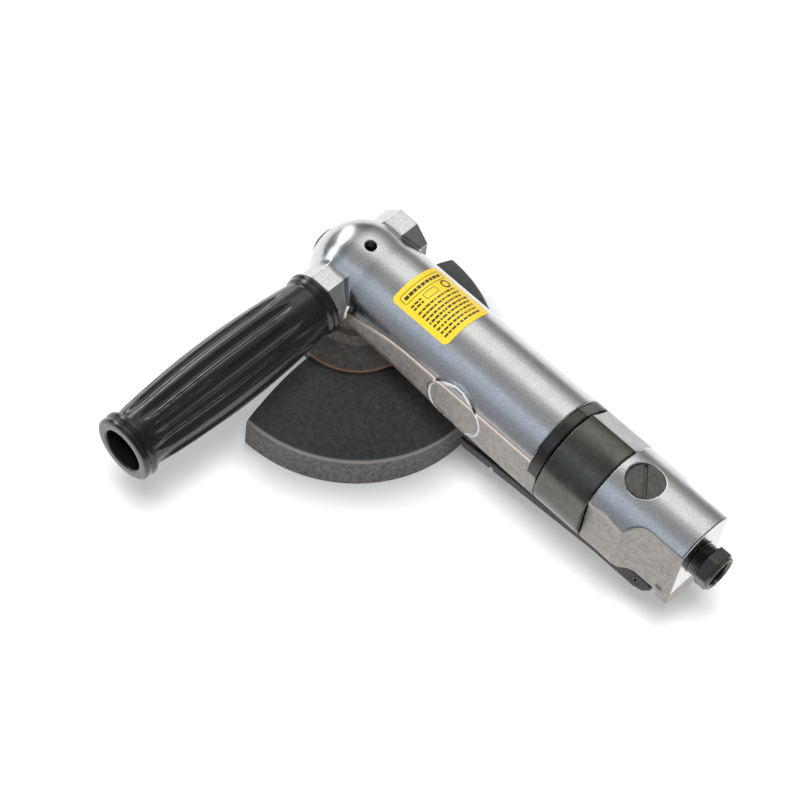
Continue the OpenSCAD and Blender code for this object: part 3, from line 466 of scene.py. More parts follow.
def barrel_field(x, y, z):
    body = length(np.minimum(x, 0), y, z) - NOSE_R - (BARREL_R - NOSE_R) * smooth_step(x, *NOSE_GROWS)
    body = np.maximum(body, x - BARREL_END)
    body = blend_inter(body, np.abs(y) - flat_at(x), 0.5)
    slope = math.radians(RELIEF_SLOPE)
    under = -((z + BARREL_R) * math.cos(slope) + (x - RELIEF_X) * math.sin(slope))
    body = blend_inter(body, under, 3)
    slope, lean = math.radians(CHAMFER_SLOPE), math.radians(CHAMFER_LEAN)
    for side in (-1, 1):
        normal = Vector((0, side * math.cos(lean), -math.sin(lean)))
        normal.rotate(Matrix.Rotation(slope, 3, "Y"))
        chamfer = (x - RELIEF_X) * normal.x + (y - side * FLAT_Y) * normal.y + (z + RELIEF_Z) * normal.z
        body = blend_inter(body, chamfer, 2.0)
    return body


def head_field(x, y, z):
    """A ball that is a little square in its upper half, on a round neck."""
    power = 2 + HEAD_SQUARE * smooth_step(z, -4, 4)
    share = (length(x, y) / HEAD_SCALE) ** power + (np.abs(z) / HEAD_SCALE) ** power
    head = share ** (1 / power) * HEAD_SCALE - HEAD_R
    return blend_union(head, rod(x, y, z, HEAD_NECK_R, HEAD_LOW, -4), HEAD_BLEND)


def oval_lift(x, y, z):
    """A thin raised line round a bare oval, on the near side."""
    rim = (length((x - OVAL_X) / OVAL_LONG, (z - OVAL_Z) / OVAL_HIGH) - 1) * OVAL_MEAN
    line = smooth_step(-np.abs(rim + 0.8), -0.9, -0.35)
    return (OVAL_LINE * line + OVAL_FIELD * smooth_step(-rim, 0.6, 1.6)) * (y < OVAL_SIDE)


def housing_field(x, y, z):
    body = blend_union(head_field(x, y, z), barrel_field(x, y, z), HEAD_BLEND)
    for side in (-1, 1):
        octagon = ngon(x, z - BOSS_Z, 8, BOSS_APOTHEM - BOSS_EDGE)
        boss = inter(octagon, slab(side * y, 0, BOSS_REACH - BOSS_EDGE)) - BOSS_EDGE
        body = blend_union(body, boss, 1.8)
    body = body - oval_lift(x, y, z)
    for radius, low, high in SPINDLE_BORES:
        body = np.maximum(body, -rod(x, y, z, radius, low, high))
    for radius, front, back in MOTOR_BORES:
        body = np.maximum(body, -rod(y, z, x, radius, front, back))
    body = blend_cut(body, rod(x - LOCK_X, y, z, LOCK_R, 0, BEYOND), 0.5)
    body = np.maximum(body, -rod(y, z, x, PLUG_BORE_R, -BEYOND, 0))
    body = blend_cut(body, rod(y, z, x, PLUG_HEAD_R, -BEYOND, PLUG_SEAT_X), 0.4)
    for side in (-1, 1):
        hole = rod(x, z - BOSS_Z, side * y, STUD_R, STUD_HOLE, BEYOND)
        cone = length(x, z - BOSS_Z) - STUD_R - (side * y - (BOSS_REACH - 0.9))
        body = cut(body, hole, np.maximum(cone, BOSS_REACH - 2 - side * y))
    return body


def make_housing():
    obj = field_mesh("angle_housing_casting", housing_field, (-26, -31, -27), (127, 31, 27), 0.5)
    behind_head = 14

    def flats(p, n):
        x, y, z = p.T
        flat = (np.abs(y) > FLAT_Y - 0.6) & (np.abs(n[:, 1]) > 0.96) & (x > behind_head) & (z < 10.3)
        # Down-facing surfaces behind the head take most of the darker ground colour: painted shade on the
        # underside.
        low = (n[:, 2] < -0.25) & (x > behind_head)
        end = np.abs(n[:, 0]) > 0.9
        return np.where(flat | end, 1.0, np.where(low, 0.8, 0.0))

    def ridge(p, above, half):
        """A line along the upper edge of both side flats, that far above it."""
        edge_y = flat_at(p[:, 0])
        edge_z = np.sqrt(np.maximum(BARREL_R ** 2 - edge_y ** 2, 0))
        far = np.hypot(np.abs(p[:, 1]) - edge_y + 0.45 * above, p[:, 2] - edge_z - above)
        return smooth_step(-far, -half - 0.35, -half + 0.2) * (p[:, 0] > 12)

    set_tone(obj, flats)
    # Painted shade in a dark line just above each ridge, and a painted highlight in a tan line on it.
    set_tone(obj, lambda p, n: ridge(p, 1.3, 0.5), "painted_shade_line")
    set_tone(obj, lambda p, n: ridge(p, 0.1, 0.45), "painted_highlight_line")
    dress(obj, "cast_aluminium", "tool", "angle_housing")


LABEL_X, LABEL_LONG, LABEL_TURNS = 29.0, 34.0, (-31.0, 40.0)
LABEL_LIFT, LABEL_T, LABEL_CORNER, LABEL_MARGIN = 0.16, 0.14, 2.6, 3.2
LABEL_CELLS = 204, 186


def label_dashes(s, t, wide):
    """Rows of dashes of random length, as a mask over the film's cells."""
    ink = np.zeros(s.shape, bool)
    rng = np.random.default_rng(4)
    # Each row: its place, height, start and most dashes, and the range of a dash's length
    rows = [(4.1, 1.7, 4.0, 99, (0.9, 2.4)), (9.4, 0.9, 3.0, 3, (1.2, 2.2)), (11.2, 0.9, 3.0, 3, (1.2, 2.2))]
    rows += [(14.0 + 2.3 * k, 1.05, 3.0, 99, (0.7, 2.6)) for k in range(8)]
    for row, height, at, most, span in rows:
        for _ in range(most):
            dash = rng.uniform(*span)
            if at + dash > wide - LABEL_MARGIN:
                break
            ink |= (s > row) & (s < row + height) & (t > at) & (t < at + dash)
            at += dash + rng.uniform(0.35, 0.6)
    return ink


def make_label():
    """Plain yellow film with rounded corners, a boxed head row, a ring and rows of generic dashes."""
    u, v = (np.linspace(0, 1, count + 1) for count in LABEL_CELLS)
    turn = np.radians(LABEL_TURNS[0] + (LABEL_TURNS[1] - LABEL_TURNS[0]) * v)
    r = BARREL_R + LABEL_LIFT
    pts = np.zeros((len(u), len(v), 3))
    pts[:, :, 0] = (LABEL_X + LABEL_LONG * u)[:, None]
    pts[:, :, 1] = (r * np.sin(turn))[None, :]
    pts[:, :, 2] = (r * np.cos(turn))[None, :]
    obj = grid_mesh("name_label_film", pts)
    me = obj.data
    me.materials.append(MATS["yellow_label"])
    me.materials.append(label_ink)
    wide = BARREL_R * math.radians(LABEL_TURNS[1] - LABEL_TURNS[0])
    # s runs along the barrel from row to row, and t across it along each row
    along, across = LABEL_LONG * (u[:-1] + u[1:]) / 2, wide * (v[:-1] + v[1:]) / 2
    s, t = np.meshgrid(along, across, indexing="ij")

    def box(s0, s1, t0, t1, corner):
        """Distance to a rectangle on the film, with rounded corners."""
        return block((s, t, 0 * s), (s0, t0, -9), (s1, t1, 9), corner)

    ink = label_dashes(s, t, wide)
    ink |= np.abs(box(2.6, 7.4, 2.6, wide - 2.6, 1.2)) < 0.17
    ink |= np.abs(np.hypot(s - 10.6, t - wide + 6.2) - 2.1) < 0.45
    ink |= np.abs(box(9.0, 12.2, 11.0, 18.5, 0.3)) < 0.14
    me.polygons.foreach_set("material_index", ink.reshape(-1).astype(np.int32))
    off = (box(0, LABEL_LONG, 0, wide, LABEL_CORNER) > 0).reshape(-1)
    bm = bmesh.new()
    bm.from_mesh(me)
    bmesh.ops.delete(bm, geom=[f for f in bm.faces if off[f.index]], context="FACES")
    bm.to_mesh(me)
    bm.free()
    solid = obj.modifiers.new("thickness", "SOLIDIFY")
    solid.thickness, solid.offset = LABEL_T * MM, 0
    dress(obj, "yellow_label", "tool", "name_label")


# Side handle, with t running along it from its inner face
GRIP_Y, GRIP_LEN = -29.3, 118.0
GRIP_FLUTES, FLUTE_R, FLUTE_DEPTH = 12, 3.1, 2.0
GRIP_THIN_R, GRIP_BELLY, GRIP_BODY = 14.0, 3.2, (6.6, GRIP_LEN - 8.0)
GRIP_HOLE_R, GRIP_HOLE_DEEP, STUD_END = 10.5, 58, 26.4
NUT_APOTHEM, NUT_FROM, NUT_TO = 6.47, 19.08, 24.12

# Both flanges, each of two rings: radius, from, to, edge
GRIP_FLANGES = (((15.8, 0, 3.4, 1.6), (15.2, 2.6, 5.6, 1.2)),
                ((15.9, GRIP_LEN - 3.6, GRIP_LEN, 1.4), (16.2, GRIP_LEN - 7.4, GRIP_LEN - 3.8, 1.5)))


def grip_radius(t):
    """Radius of the grip at t, without flutes."""
    start, end = GRIP_BODY
    share = np.clip((t - start) / (end - start), 0, 1)
    return GRIP_THIN_R + GRIP_BELLY * np.sin(math.pi * share) ** 0.8


def grip_field(x, y, z):
    t = GRIP_Y - y
    z = z - BOSS_Z
    r = length(x, z)
    pitch = 2 * math.pi / GRIP_FLUTES
    turn = (np.arctan2(z, x) / pitch + 0.5) % 1.0 * pitch - pitch / 2
    depth = FLUTE_DEPTH * smooth_step(t, 12, 30) * smooth_step(GRIP_LEN - t, 7, 20)
    around = grip_radius(t) - depth + FLUTE_R
    flute = length(r * np.cos(turn) - around, r * np.sin(turn)) - FLUTE_R
    body = np.maximum(r - grip_radius(t), slab(t, 2, GRIP_LEN - 2)) * 0.95
    body = blend_cut(body, flute, 0.35)
    for rings in GRIP_FLANGES:
        body = blend_union(body, union(*(rod(x, z, t, *ring) for ring in rings)), 0.8)
    body = blend_cut(body, rod(x, z, t, GRIP_HOLE_R, GRIP_LEN - GRIP_HOLE_DEEP, GRIP_LEN + 20), 1.0)
    body = np.maximum(body, -rod(x, z, t, STUD_R, -3, STUD_END))
    return np.maximum(body, -np.maximum(ngon(x, z, 6, NUT_APOTHEM, 30), slab(t, NUT_FROM, NUT_TO)))


def make_grip():
    room = 18.5
    obj = field_mesh("side_handle_grip", grip_field, (-room, GRIP_Y - GRIP_LEN - 1, BOSS_Z - room),
                     (room, GRIP_Y + 1, BOSS_Z + room), 0.5)
    dress(obj, "black_plastic", "tool", "side_handle")


# Guard and bearing cap
def lathe_z(name, profile, steps=160, start=0.0, turn=360.0):
    """Turns a closed profile of (radius, z) about the spindle."""
    closed = turn >= 360
    a = np.radians(start + turn * np.arange(steps) / (steps if closed else steps - 1))
    prof = np.array(profile, float)
    pts = np.zeros((steps, len(prof), 3))
    pts[:, :, 0] = np.cos(a)[:, None] * prof[None, :, 0]
    pts[:, :, 1] = np.sin(a)[:, None] * prof[None, :, 0]
    pts[:, :, 2] = prof[None, :, 1]
    obj = grid_mesh(name, pts, closed_u=closed, closed_v=True)
    if not closed:
        m = len(prof)
        me = obj.data
        faces = [tuple(p.vertices) for p in me.polygons]
        faces.append(tuple(range(m)))
        faces.append(tuple((steps - 1) * m + i for i in reversed(range(m))))
        verts = [tuple(v.co) for v in me.vertices]
        me.clear_geometry()
        me.from_pydata(verts, [], faces)
        me.validate()
    if signed_volume(obj.data) < 0:
        obj.data.flip_normals()
    split_sharp(obj)
    return obj


def rounded(profile, r, steps=4):
    """A closed profile with every corner rounded to at most r."""
    pts = [Vector(p) for p in profile]
    out = []
    for i, p in enumerate(pts):
        a, b = pts[i - 1] - p, pts[(i + 1) % len(pts)] - p
        angle = a.angle(b)
        if angle > math.radians(176):
            out.append(p)
            continue
        reach = min(r / math.tan(angle / 2), a.length * 0.45, b.length * 0.45)
        p0, p1 = p + a.normalized() * reach, p + b.normalized() * reach
        for k in range(steps + 1):
            t = k / steps
            out.append(p0 * (1 - t) ** 2 + p * 2 * t * (1 - t) + p1 * t * t)
    return out


GUARD_TOP, GUARD_T, GUARD_R, GUARD_HIGH = -38.56, 2.0, 69.8, 33.2
GUARD_BORE_R, GUARD_SEAT_R, GUARD_RING_R = 24.06, 31.8, 31.1
GUARD_DROP, GUARD_SLOPE_LONG, GUARD_CURVE = 14.0, 37.1, 1.9
SKIRT_TOP = GUARD_TOP - 14.8


def guard_top(r):
    """Height of the guard's upper face, which falls away from its flat seat."""
    return GUARD_TOP - GUARD_DROP * (np.clip(r - GUARD_SEAT_R, 0, None) / GUARD_SLOPE_LONG) ** GUARD_CURVE


def make_guard():
    wall = GUARD_R - GUARD_T
    outer = [(GUARD_BORE_R, GUARD_TOP), (GUARD_SEAT_R, GUARD_TOP)]
    outer += [(r, guard_top(r)) for r in np.linspace(33, 68.4, 36)]
    outer += [(GUARD_R - 0.6, GUARD_TOP - 14.6), (GUARD_R - 0.1, GUARD_TOP - 15.4)]
    outer += [(GUARD_R, GUARD_TOP - h) for h in np.linspace(16.2, GUARD_HIGH, 18)]
    inner = [(wall, GUARD_TOP - GUARD_HIGH), (wall, GUARD_TOP - 16.5), (wall - 0.8, GUARD_TOP - 15.4)]
    inner += [(r, guard_top(r) - GUARD_T) for r in np.linspace(66, 33, 30)]
    inner += [(GUARD_BORE_R, GUARD_TOP - GUARD_T)]
    dish = lathe_z("wheel_guard_dish", rounded(outer + inner, 0.5, 2), 220, -90, 180)
    high, low = GUARD_TOP - 0.02, GUARD_TOP - GUARD_T + 0.02
    ring_profile = [(GUARD_BORE_R, high), (GUARD_RING_R, high), (GUARD_RING_R, low), (GUARD_BORE_R, low)]
    ring = lathe_z("wheel_guard_ring", rounded(ring_profile, 0.3), 180)

    # The corner of plate and outer wall: a worn edge with a painted highlight.
    def worn_and_highlit_edge(p, n):
        near_edge = smooth_step(-np.abs(p[:, 2] - SKIRT_TOP), -0.9, -0.3)
        return near_edge * (np.hypot(p[:, 0], p[:, 1]) > GUARD_R - 1.5) * 0.8

    # The outer wall below that corner, which the paint makes lighter as if lit.
    def lit_skirt(p, n):
        below_edge = smooth_step(-p[:, 2], -SKIRT_TOP, 0.6 - SKIRT_TOP)
        return below_edge * (np.hypot(p[:, 0], p[:, 1]) > GUARD_R - 0.8)

    set_tone(dish, worn_and_highlit_edge)
    set_tone(dish, lit_skirt, "side")
    for obj in (dish, ring):
        dress(obj, "black_paint", "guard", "wheel_guard", guard_paint)


def split_sharp(obj, degrees=35):
    """Keeps edges over that angle crisp, and shades the rest smooth."""
    me = obj.data
    bm = bmesh.new()
    bm.from_mesh(me)
    limit = math.radians(degrees)
    for e in bm.edges:
        if len(e.link_faces) == 2 and e.calc_face_angle(0) > limit:
            e.smooth = False
    bm.to_mesh(me)
    bm.free()


def dense(profile, step):
    """The same closed profile with its long sides divided."""
    out = []
    for a, b in zip(profile, profile[1:] + profile[:1]):
        count = max(1, math.ceil((Vector(b) - Vector(a)).length / step))
        out += [Vector(a).lerp(Vector(b), k / count) for k in range(count)]
    return out


CAP_LOW, CAP_RIM_R, CAP_RIM_HIGH = GUARD_TOP + 0.06, 31.0, 3.0


def make_cap():
    rim_top = CAP_LOW + CAP_RIM_HIGH
    profile = [(12.0, -26.2), (16.0, -26.2), (16.0, -12.9), (16.98, -12.9), (16.98, -16.45),
               (19.8, -16.45), (20.1, -22.5), (22.4, -26.5), (CAP_RIM_R, rim_top), (CAP_RIM_R, CAP_LOW),
               (24.0, CAP_LOW), (24.0, -40.6), (17.6, -40.6), (17.6, -31.1), (12.0, -31.1)]
    cap = lathe_z("bearing_cap_bell", dense(rounded(profile, 0.5), 0.7), 160)

    # The rim's top edge: a worn copper line with a painted highlight.
    def worn_and_highlit_edge(p, n):
        r = np.hypot(p[:, 0], p[:, 1])
        return smooth_step(-np.abs(p[:, 2] - rim_top), -0.6, -0.15) * (r > CAP_RIM_R - 0.7)

    set_tone(cap, worn_and_highlit_edge)
    dress(cap, "black_paint", "tool", "bearing_cap", cap_paint)


# Rear end
SLEEVE_X, VALVE_X0, VALVE_END, TAIL = 131.4, 157.3, 205.3, 300
RING_FLATS, RING_FLAT_DEEP = (-92, 28, 148), 0.85
SLEEVE_FLATS, SLEEVE_FLAT_DEEP, SLEEVE_FRONT = (38, 218), 1.36, 111.0
SPIGOT_R, SPIGOT_LONG = 19.98, 11.7
SLEEVE_BORES = ((16.6, 119.4), (13.0, 110), (20.0, VALVE_X0 - 12))
VALVE_X, INLET_Z = 170.0, 4.5
VALVE_FLAT_Y, FLARE = 20.9, math.radians(9.1)
CHEEK_X, CHEEK_Y, CHEEK_BLEND = 187.5, 15.5, 10.5
PIVOT_X, PIVOT_Z, PIVOT_R = 186.7, -25.5, 2.02
LUG_R, LUG_HALF, LUG_TOP = 3.6, 8, -14.5
POCKET_X, POCKET_END, POCKET_TOP, POCKET_R = 178.0, 198.4, -16.2, 5.0
PANEL_X, PANEL_Z, PANEL_LINE, PANEL_DEEP = (197.0, 202.0), (-13.0, 13.5), 0.7, 0.35
PLUG_HOLE_R, PLUG_HOLE_Z, VALVE_BORE_R, STEM_BORE_R = 8.87, 16.8, 6.0, 4.02
INLET_BORE_R, INLET_DEEP, AIR_R, AIR_Z, AIR_LOW_R = 8.32, 14, 5.0, -11, 4.5


def turned(y, z, degrees):
    """Distance from the barrel axis towards an angle from the top, positive to the far side."""
    a = math.radians(degrees)
    return y * math.sin(a) + z * math.cos(a)


def ring_field(x, y, z):
    d = rod(y, z, x, BARREL_R, BARREL_END + 0.05, SLEEVE_X - 0.25, 0.5)
    for turn in RING_FLATS:
        d = blend_inter(d, turned(y, z, turn) - (BARREL_R - RING_FLAT_DEEP), 0.3)
    return np.maximum(d, -rod(y, z, x, SPIGOT_R + 0.04, 0, TAIL))


def sleeve_field(x, y, z):
    d = rod(y, z, x, BARREL_R, SLEEVE_X + 0.15, VALVE_X0 - 0.12, 0.45)
    for turn in SLEEVE_FLATS:
        d = blend_inter(d, turned(y, z, turn) - (BARREL_R - SLEEVE_FLAT_DEEP), 0.3)
    d = union(d, rod(y, z, x, SPIGOT_R, SLEEVE_FRONT, SLEEVE_X + 8.6))
    for radius, front in SLEEVE_BORES:
        d = np.maximum(d, -rod(y, z, x, radius, front, TAIL))
    return d


def pocket_field(x, z):
    """The pocket round the lever's pivot, with a rounded corner in front."""
    corner_x, corner_z = POCKET_X + POCKET_R, POCKET_TOP - POCKET_R
    high = np.maximum(slab(x, corner_x, POCKET_END), z - POCKET_TOP)
    low = np.maximum(slab(x, POCKET_X, POCKET_END), z - corner_z)
    return union(high, low, length(x - corner_x, z - corner_z) - POCKET_R)


def valve_body(x, y, z):
    """The housing's outside: a round with flared flats, cut-away cheeks, a pocket and a lug for the pin."""
    d = rod(y, z, x, BARREL_R, VALVE_X0 + 0.05, VALVE_END, 0.5)
    flare = (np.abs(y) - VALVE_FLAT_Y) * math.cos(FLARE) - (x - VALVE_X0) * math.sin(FLARE)
    d = blend_inter(d, flare, 0.6 + 2.6 * smooth_step(x, 158, 168))
    for side in (-1, 1):
        s = side * y
        bend = length(x - CHEEK_X, s - CHEEK_Y - CHEEK_BLEND) - CHEEK_BLEND
        d = blend_cut(d, union(np.maximum(CHEEK_X - x, CHEEK_Y - s), bend), 1.2)
    d = blend_cut(d, pocket_field(x, z), 1.2)
    eye = rod(x - PIVOT_X, z - PIVOT_Z, y, LUG_R, -LUG_HALF, LUG_HALF, 0.3)
    shank = block((x, y, z), (PIVOT_X - LUG_R, -LUG_HALF, PIVOT_Z), (PIVOT_X + LUG_R, LUG_HALF, LUG_TOP), 0.3)
    return blend_union(d, union(eye, shank), 1.2)


def valve_field(x, y, z):
    (x0, x1), (z0, z1) = PANEL_X, PANEL_Z
    face = -CHEEK_Y
    frame_line = block((x, y, z), (x0, face - PANEL_DEEP, z0), (x1, face + 1, z1), 0.15)
    panel = block((x, y, z), (x0 + PANEL_LINE, face - 2, z0 + PANEL_LINE),
                  (x1 - PANEL_LINE, face + PANEL_DEEP, z1 - PANEL_LINE), 0.1)
    d = cut(union(valve_body(x, y, z), frame_line), panel)
    d = union(d, rod(y, z, x, SPIGOT_R, VALVE_X0 - SPIGOT_LONG, VALVE_X0 + 0.3))
    d = np.maximum(d, -rod(x - PIVOT_X, z - PIVOT_Z, y, PIVOT_R, -BEYOND, BEYOND))
    d = blend_cut(d, rod(x - VALVE_X, y, z, PLUG_HOLE_R, PLUG_HOLE_Z, BEYOND), 0.5)
    d = np.maximum(d, -rod(x - VALVE_X, y, z, VALVE_BORE_R, -8, BEYOND))
    d = np.maximum(d, -rod(x - VALVE_X, y, z, STEM_BORE_R, -BEYOND, 0))
    d = blend_cut(d, rod(y, z - INLET_Z, x, INLET_BORE_R, VALVE_END - INLET_DEEP, TAIL), 0.6)
    d = np.maximum(d, -rod(y, z - INLET_Z, x, AIR_R, VALVE_X, TAIL))
    return np.maximum(d, -rod(y, z - AIR_Z, x, AIR_LOW_R, VALVE_X0 - 20, VALVE_X))


def make_rear():
    ring = field_mesh("clamp_ring_nut", ring_field, (125, -26, -26), (132, 26, 26), 0.4)
    set_tone(ring, lambda p, n: (np.hypot(p[:, 1], p[:, 2]) < BARREL_R - 0.1) & (np.abs(n[:, 0]) < 0.3))
    dress(ring, "dark_steel", "tool", "clamp_ring", ring_steel)
    sleeve = field_mesh("motor_sleeve_tube", sleeve_field, (110, -26, -26), (158, 26, 26), 0.5)
    set_tone(sleeve, lambda p, n: (np.hypot(p[:, 1], p[:, 2]) < BARREL_R - 0.12) & (np.abs(n[:, 0]) < 0.3))
    dress(sleeve, "dark_steel", "tool", "motor_sleeve", sleeve_steel)
    valve = field_mesh("valve_housing_casting", valve_field, (145, -26, -31), (207, 26, 26), 0.45)

    def flats(p, n):
        flat = smooth_step(np.abs(n[:, 1]), 0.80, 0.97)
        run = (np.abs(n[:, 0]) > 0.25) & (np.abs(p[:, 1]) > CHEEK_Y - 1) & (p[:, 0] > 165)
        # Everything below z -12 takes the darker ground colour: painted shade on the housing's underside.
        return np.where((p[:, 2] < -12) | run, 1.0, flat)

    set_tone(valve, flats)
    dress(valve, "cast_aluminium", "tool", "valve_housing", valve_casting)


# Plug, inlet and lever
PLUG_R, PLUG_LOW, PLUG_TOP, PLUG_HOLLOW_R = 8.85, 18.0, 23.8, 4.4
SLOT_TURN, SLOT_HALF, SLOT_FLOOR = math.radians(38.6), 0.75, 22.2
INLET_X, INLET_END, INLET_R, INLET_FLAT, INLET_LIP_R = 193.3, 217.5, 8.3, 8.8, 8.7
HEX_X, HEX_END, HEX_CORNER_R, HEX_TURN = 210.4, 216.2, 9.9, 15
THREAD_PITCH, THREAD_DEEP, BORE_R, BORE_THREAD = 1.4, 0.75, 6.3, 0.45
LEVER_SLOPE = math.tan(math.radians(5.5))
LEVER_LONG, LEVER_HALF, LEVER_WALL, LEVER_PAD, PAD_X = 106.5, 13.0, 1.8, 6, VALVE_X - 8
LATCH_BACK, LATCH_WEB, LATCH_PIN_R, LEVER_EAR, LEVER_PIN_R = 86, 4.2, 1.02, 9.5, 2.06


def plug_field(x, y, z):
    u = x - VALVE_X
    d = rod(u, y, z, PLUG_R, PLUG_LOW, PLUG_TOP, 0.35)
    across = u * math.cos(SLOT_TURN) + y * math.sin(SLOT_TURN)
    d = blend_cut(d, np.maximum(np.abs(across) - SLOT_HALF, SLOT_FLOOR - z), 0.25)
    return np.maximum(d, -rod(u, y, z, PLUG_HOLLOW_R, 16.8, 20.2))


def thread(x, angle, hand):
    """A helix as a wave between 0 and 1."""
    return np.abs((x / THREAD_PITCH - hand * angle / (2 * math.pi)) % 1.0 - 0.5) * 2


def inlet_field(x, y, z):
    w = z - INLET_Z
    r = length(y, w)
    angle = np.arctan2(w, y)
    neck_end = HEX_X + 0.9
    fade = smooth_step(x, 193, 195) * smooth_step(neck_end - 0.1 - x, 0, 1)
    neck_r = INLET_R - THREAD_DEEP * thread(x, angle, 1) * fade
    neck = np.maximum(r - neck_r, slab(x, INLET_X, neck_end)) * 0.8
    hexagon = blend_inter(ngon(y, w, 6, INLET_FLAT, HEX_TURN), r - HEX_CORNER_R, 0.3)
    hexagon = inter(hexagon, slab(x, HEX_X, HEX_END))
    hexagon = blend_inter(hexagon, r - INLET_R - (INLET_END - 0.5 - x) * 1.4, 0.3)
    d = union(neck, hexagon, rod(y, w, x, INLET_LIP_R, HEX_X, INLET_END, 0.5))
    bore = r - BORE_R - BORE_THREAD * thread(x, angle, -1)
    d = np.maximum(d, -np.maximum(bore, 193 - x) * 0.8)
    mouth = r - BORE_R - 0.1 - (x - INLET_END + 1.1)
    return np.maximum(d, -np.maximum(mouth, INLET_END - 1.5 - x))


def lever_floor(x):
    """Height of the lever's lower face, level under the valve and falling towards its tip."""
    return PIVOT_Z - LEVER_PAD - max(PAD_X - x, 0) * LEVER_SLOPE


def lever_field(x, y, z):
    px, pz = PIVOT_X, PIVOT_Z
    inner = LEVER_HALF - LEVER_WALL
    pad, tip, ear, web = pz - LEVER_PAD, px - LEVER_LONG, px - LEVER_EAR, px - LATCH_BACK + LATCH_WEB
    under_barrel = -math.sqrt(BARREL_R ** 2 - inner ** 2) - 0.5

    def top(v):
        return under_barrel - (px - v) * LEVER_SLOPE

    outline = [(tip, top(tip)), (tip + 0.6, lever_floor(tip) + 3), (tip + 2.4, lever_floor(tip) + 0.8),
               (tip + 5, lever_floor(tip + 5)), (PAD_X, pad), (px, pad), (px + 5, pad + 2),
               (px + 8.5, pad + 7), (px + 8.8, pz + 3.6), (px + 6, pz + 5), (px - 6, pz + 5),
               (ear + 0.6, top(ear))]
    room = [(tip - 9, 0), (tip - 9, -99), (web, -99), (web, lever_floor(web) + LEVER_WALL),
            (PAD_X, pad + LEVER_WALL), (px + 2, pad + LEVER_WALL), (px + 5, pad + 3.4), (px + 7, pad + 8),
            (px + 7, 0)]
    d = blend_inter(polygon(x, z, outline), np.abs(y) - LEVER_HALF, 0.9)
    d = blend_cut(d, blend_inter(polygon(x, z, room), np.abs(y) - inner, 0.5), 0.4)
    d = np.maximum(d, -rod(x - px, z - pz, y, LEVER_PIN_R, -30, 30))
    pin_x = px - LATCH_BACK
    return np.maximum(d, -rod(x - pin_x, z - lever_floor(pin_x) - 1.5, y, LATCH_PIN_R, -30, 30))


def make_small():
    plug = field_mesh("valve_plug_screw", plug_field, (160.5, -9.5, 17.4), (179.5, 9.5, 24.4), 0.2)
    dress(plug, "bright_steel", "tool", "valve_plug", plug_steel)
    inlet = field_mesh("inlet_bushing_threaded", inlet_field, (192.5, -10.6, -6.2), (218.2, 10.6, 15.2),
                       0.22)
    dress(inlet, "dark_steel", "tool", "inlet_bushing")
    lever = field_mesh("throttle_lever_channel", lever_field, (78.5, -13.8, -41.5), (197, 13.8, -19.5), 0.4)
    dress(lever, "lever_steel", "lever", "throttle_lever")


# The rest keeps its solids
def dress_solids():
    slots = {s["node"]: s["material_slot"] for s in frame["record"]["subparts"]}
    for name, obj in frame["nodes"].items():
        obj.data.materials.clear()
        obj.data.materials.append(pin_steel if name == "lever_pivot_pin" else MATS[slots[name]])


# Studio
FLOOR_Z, FLOOR_HALF = -71.9 * MM, 3.0
# The third colour is the painted contact shade of the floor right against the tool.
FLOOR_LIT, FLOOR_SHOWN, FLOOR_CONTACT_SHADE = (0.74, 0.73, 0.72), (0.94, 0.94, 0.94), (0.30, 0.30, 0.30)
FLOOR_GLOW, CONTACT_SHADE_REACH = 0.11, 0.02
KEY_AIM, KEY_FROM = Vector((0.08, -0.02, 0)), Vector((0.177, -0.306, 0.9355))
KEY_FAR, KEY_SIZE, KEY_POWER = 2.0, 0.5, 36.0

# The sky's light, by the angle about the barrel from straight up towards the near side
SKY = ((-90, (0.34, 0.335, 0.33)), (-76, (0.30, 0.295, 0.29)), (-62, (0.55, 0.55, 0.545)),
       (-46, (1.15, 1.15, 1.13)), (-24, (1.25, 1.25, 1.23)), (-10, (0.62, 0.62, 0.62)),
       (2, (0.40, 0.40, 0.41)), (18, (0.42, 0.43, 0.45)), (32, (0.66, 0.74, 0.82)),
       (48, (0.54, 0.62, 0.71)), (62, (0.34, 0.37, 0.41)), (90, (0.26, 0.26, 0.27)))

# How bright the strips are by the direction's share along the barrel, from the head's side to the tail's
SKY_ALONG = ((-1.0, 0.3), (-0.93, 0.4), (-0.88, 5.0), (-0.82, 5.0), (-0.76, 0.4), (-0.58, 0.45),
             (-0.46, 1.0), (-0.16, 1.0), (0.0, 0.35), (0.3, 0.18), (1.0, 0.25))


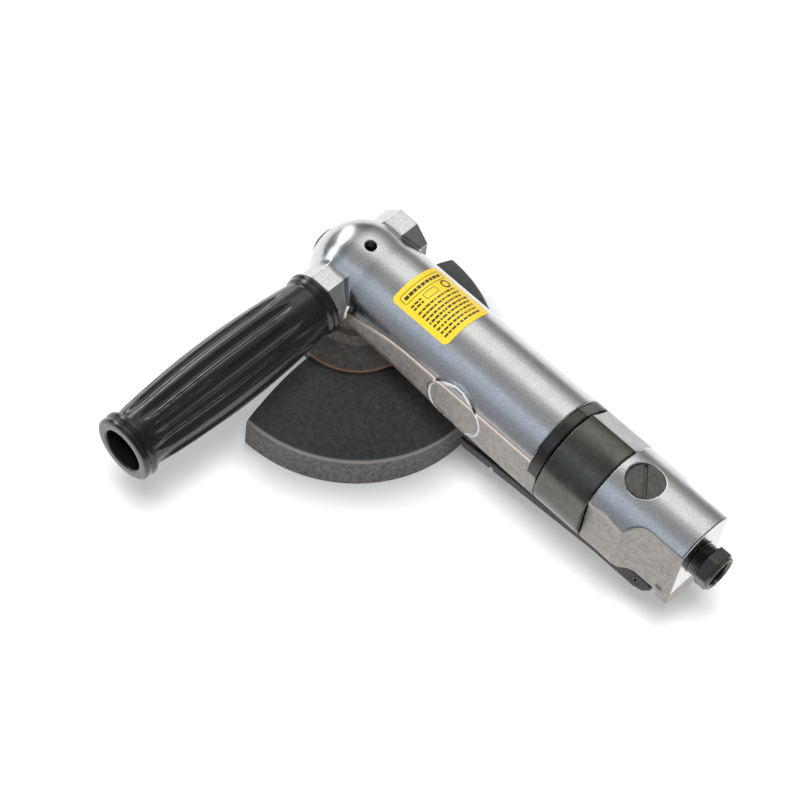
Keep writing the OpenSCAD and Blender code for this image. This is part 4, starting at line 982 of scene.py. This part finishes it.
def make_floor():
    """A white floor, a little brighter to the camera than to the tool, and darker close to the tool by
    painted contact shade.
    """
    me = bpy.data.meshes.new("floor")
    s = FLOOR_HALF
    corners = [(x, y, FLOOR_Z) for x, y in ((-s, -s), (s, -s), (s, s), (-s, s))]
    me.from_pydata(corners, [], [(0, 1, 2, 3)])
    floor = bpy.data.objects.new("floor", me)
    scene.collection.objects.link(floor)
    n = Nodes("floor_white")
    path = n.node("ShaderNodeLightPath").outputs
    seen = n.math("MAXIMUM", path["Is Camera Ray"], path["Is Glossy Ray"])
    seen = n.math("MAXIMUM", seen, path["Is Transmission Ray"])
    # Ambient occlusion darkens the floor close to the tool: painted contact shade.
    near = n.node("ShaderNodeAmbientOcclusion", samples=8)
    near.inputs["Distance"].default_value = CONTACT_SHADE_REACH
    shown = n.mix(n.math("POWER", near.outputs["AO"], 2.0), FLOOR_CONTACT_SHADE, FLOOR_SHOWN)
    n.set(Base_Color=n.mix(seen, FLOOR_LIT, shown), Roughness=0.9, Specular_IOR_Level=0.1,
          Emission_Color=(1, 1, 1, 1), Emission_Strength=n.math("MULTIPLY", seen, FLOOR_GLOW))
    me.materials.append(n.mat)


def make_sky():
    """Long soft strips of light along the barrel, in front of a backdrop that the camera sees as white."""
    world = bpy.data.worlds.new("studio")
    scene.world = world
    world.use_nodes = True
    n = Tree(world.node_tree)
    away = n.node("ShaderNodeSeparateXYZ")
    n.link(n.node("ShaderNodeTexCoord").outputs["Generated"], away.inputs[0])
    about = n.math("ARCTAN2", n.math("MULTIPLY", away.outputs["Y"], -1.0), away.outputs["Z"])
    about = n.math("MULTIPLY_ADD", about, 1 / math.pi, 0.5)
    along = n.math("MULTIPLY_ADD", away.outputs["X"], 0.5, 0.5)
    strips = n.ramp(about, [(degrees / 180 + 0.5, color) for degrees, color in SKY], "EASE")
    gaps = n.ramp(along, [(x / 2 + 0.5, value) for x, value in SKY_ALONG])
    light = n.mix(1.0, strips, gaps, "MULTIPLY")
    shown = n.node("ShaderNodeLightPath").outputs["Is Camera Ray"]
    background = world.node_tree.nodes["Background"]
    background.inputs["Strength"].default_value = 1.0
    n.link(n.mix(shown, light, (1, 1, 1)), background.inputs["Color"])


def make_key():
    """The one lamp, a square close to the camera's direction; metal doesn't mirror it."""
    data = bpy.data.lights.new("key", "AREA")
    data.energy = KEY_POWER
    data.size = KEY_SIZE
    obj = bpy.data.objects.new("key", data)
    obj.location = KEY_AIM + KEY_FROM * KEY_FAR
    obj.rotation_euler = (-KEY_FROM).to_track_quat("-Z", "Y").to_euler()
    obj.visible_glossy = False
    scene.collection.objects.link(obj)


make_camera()
make_housing()
make_label()
make_grip()
make_guard()
make_cap()
make_rear()
make_small()
dress_solids()
make_floor()
make_sky()
make_key()
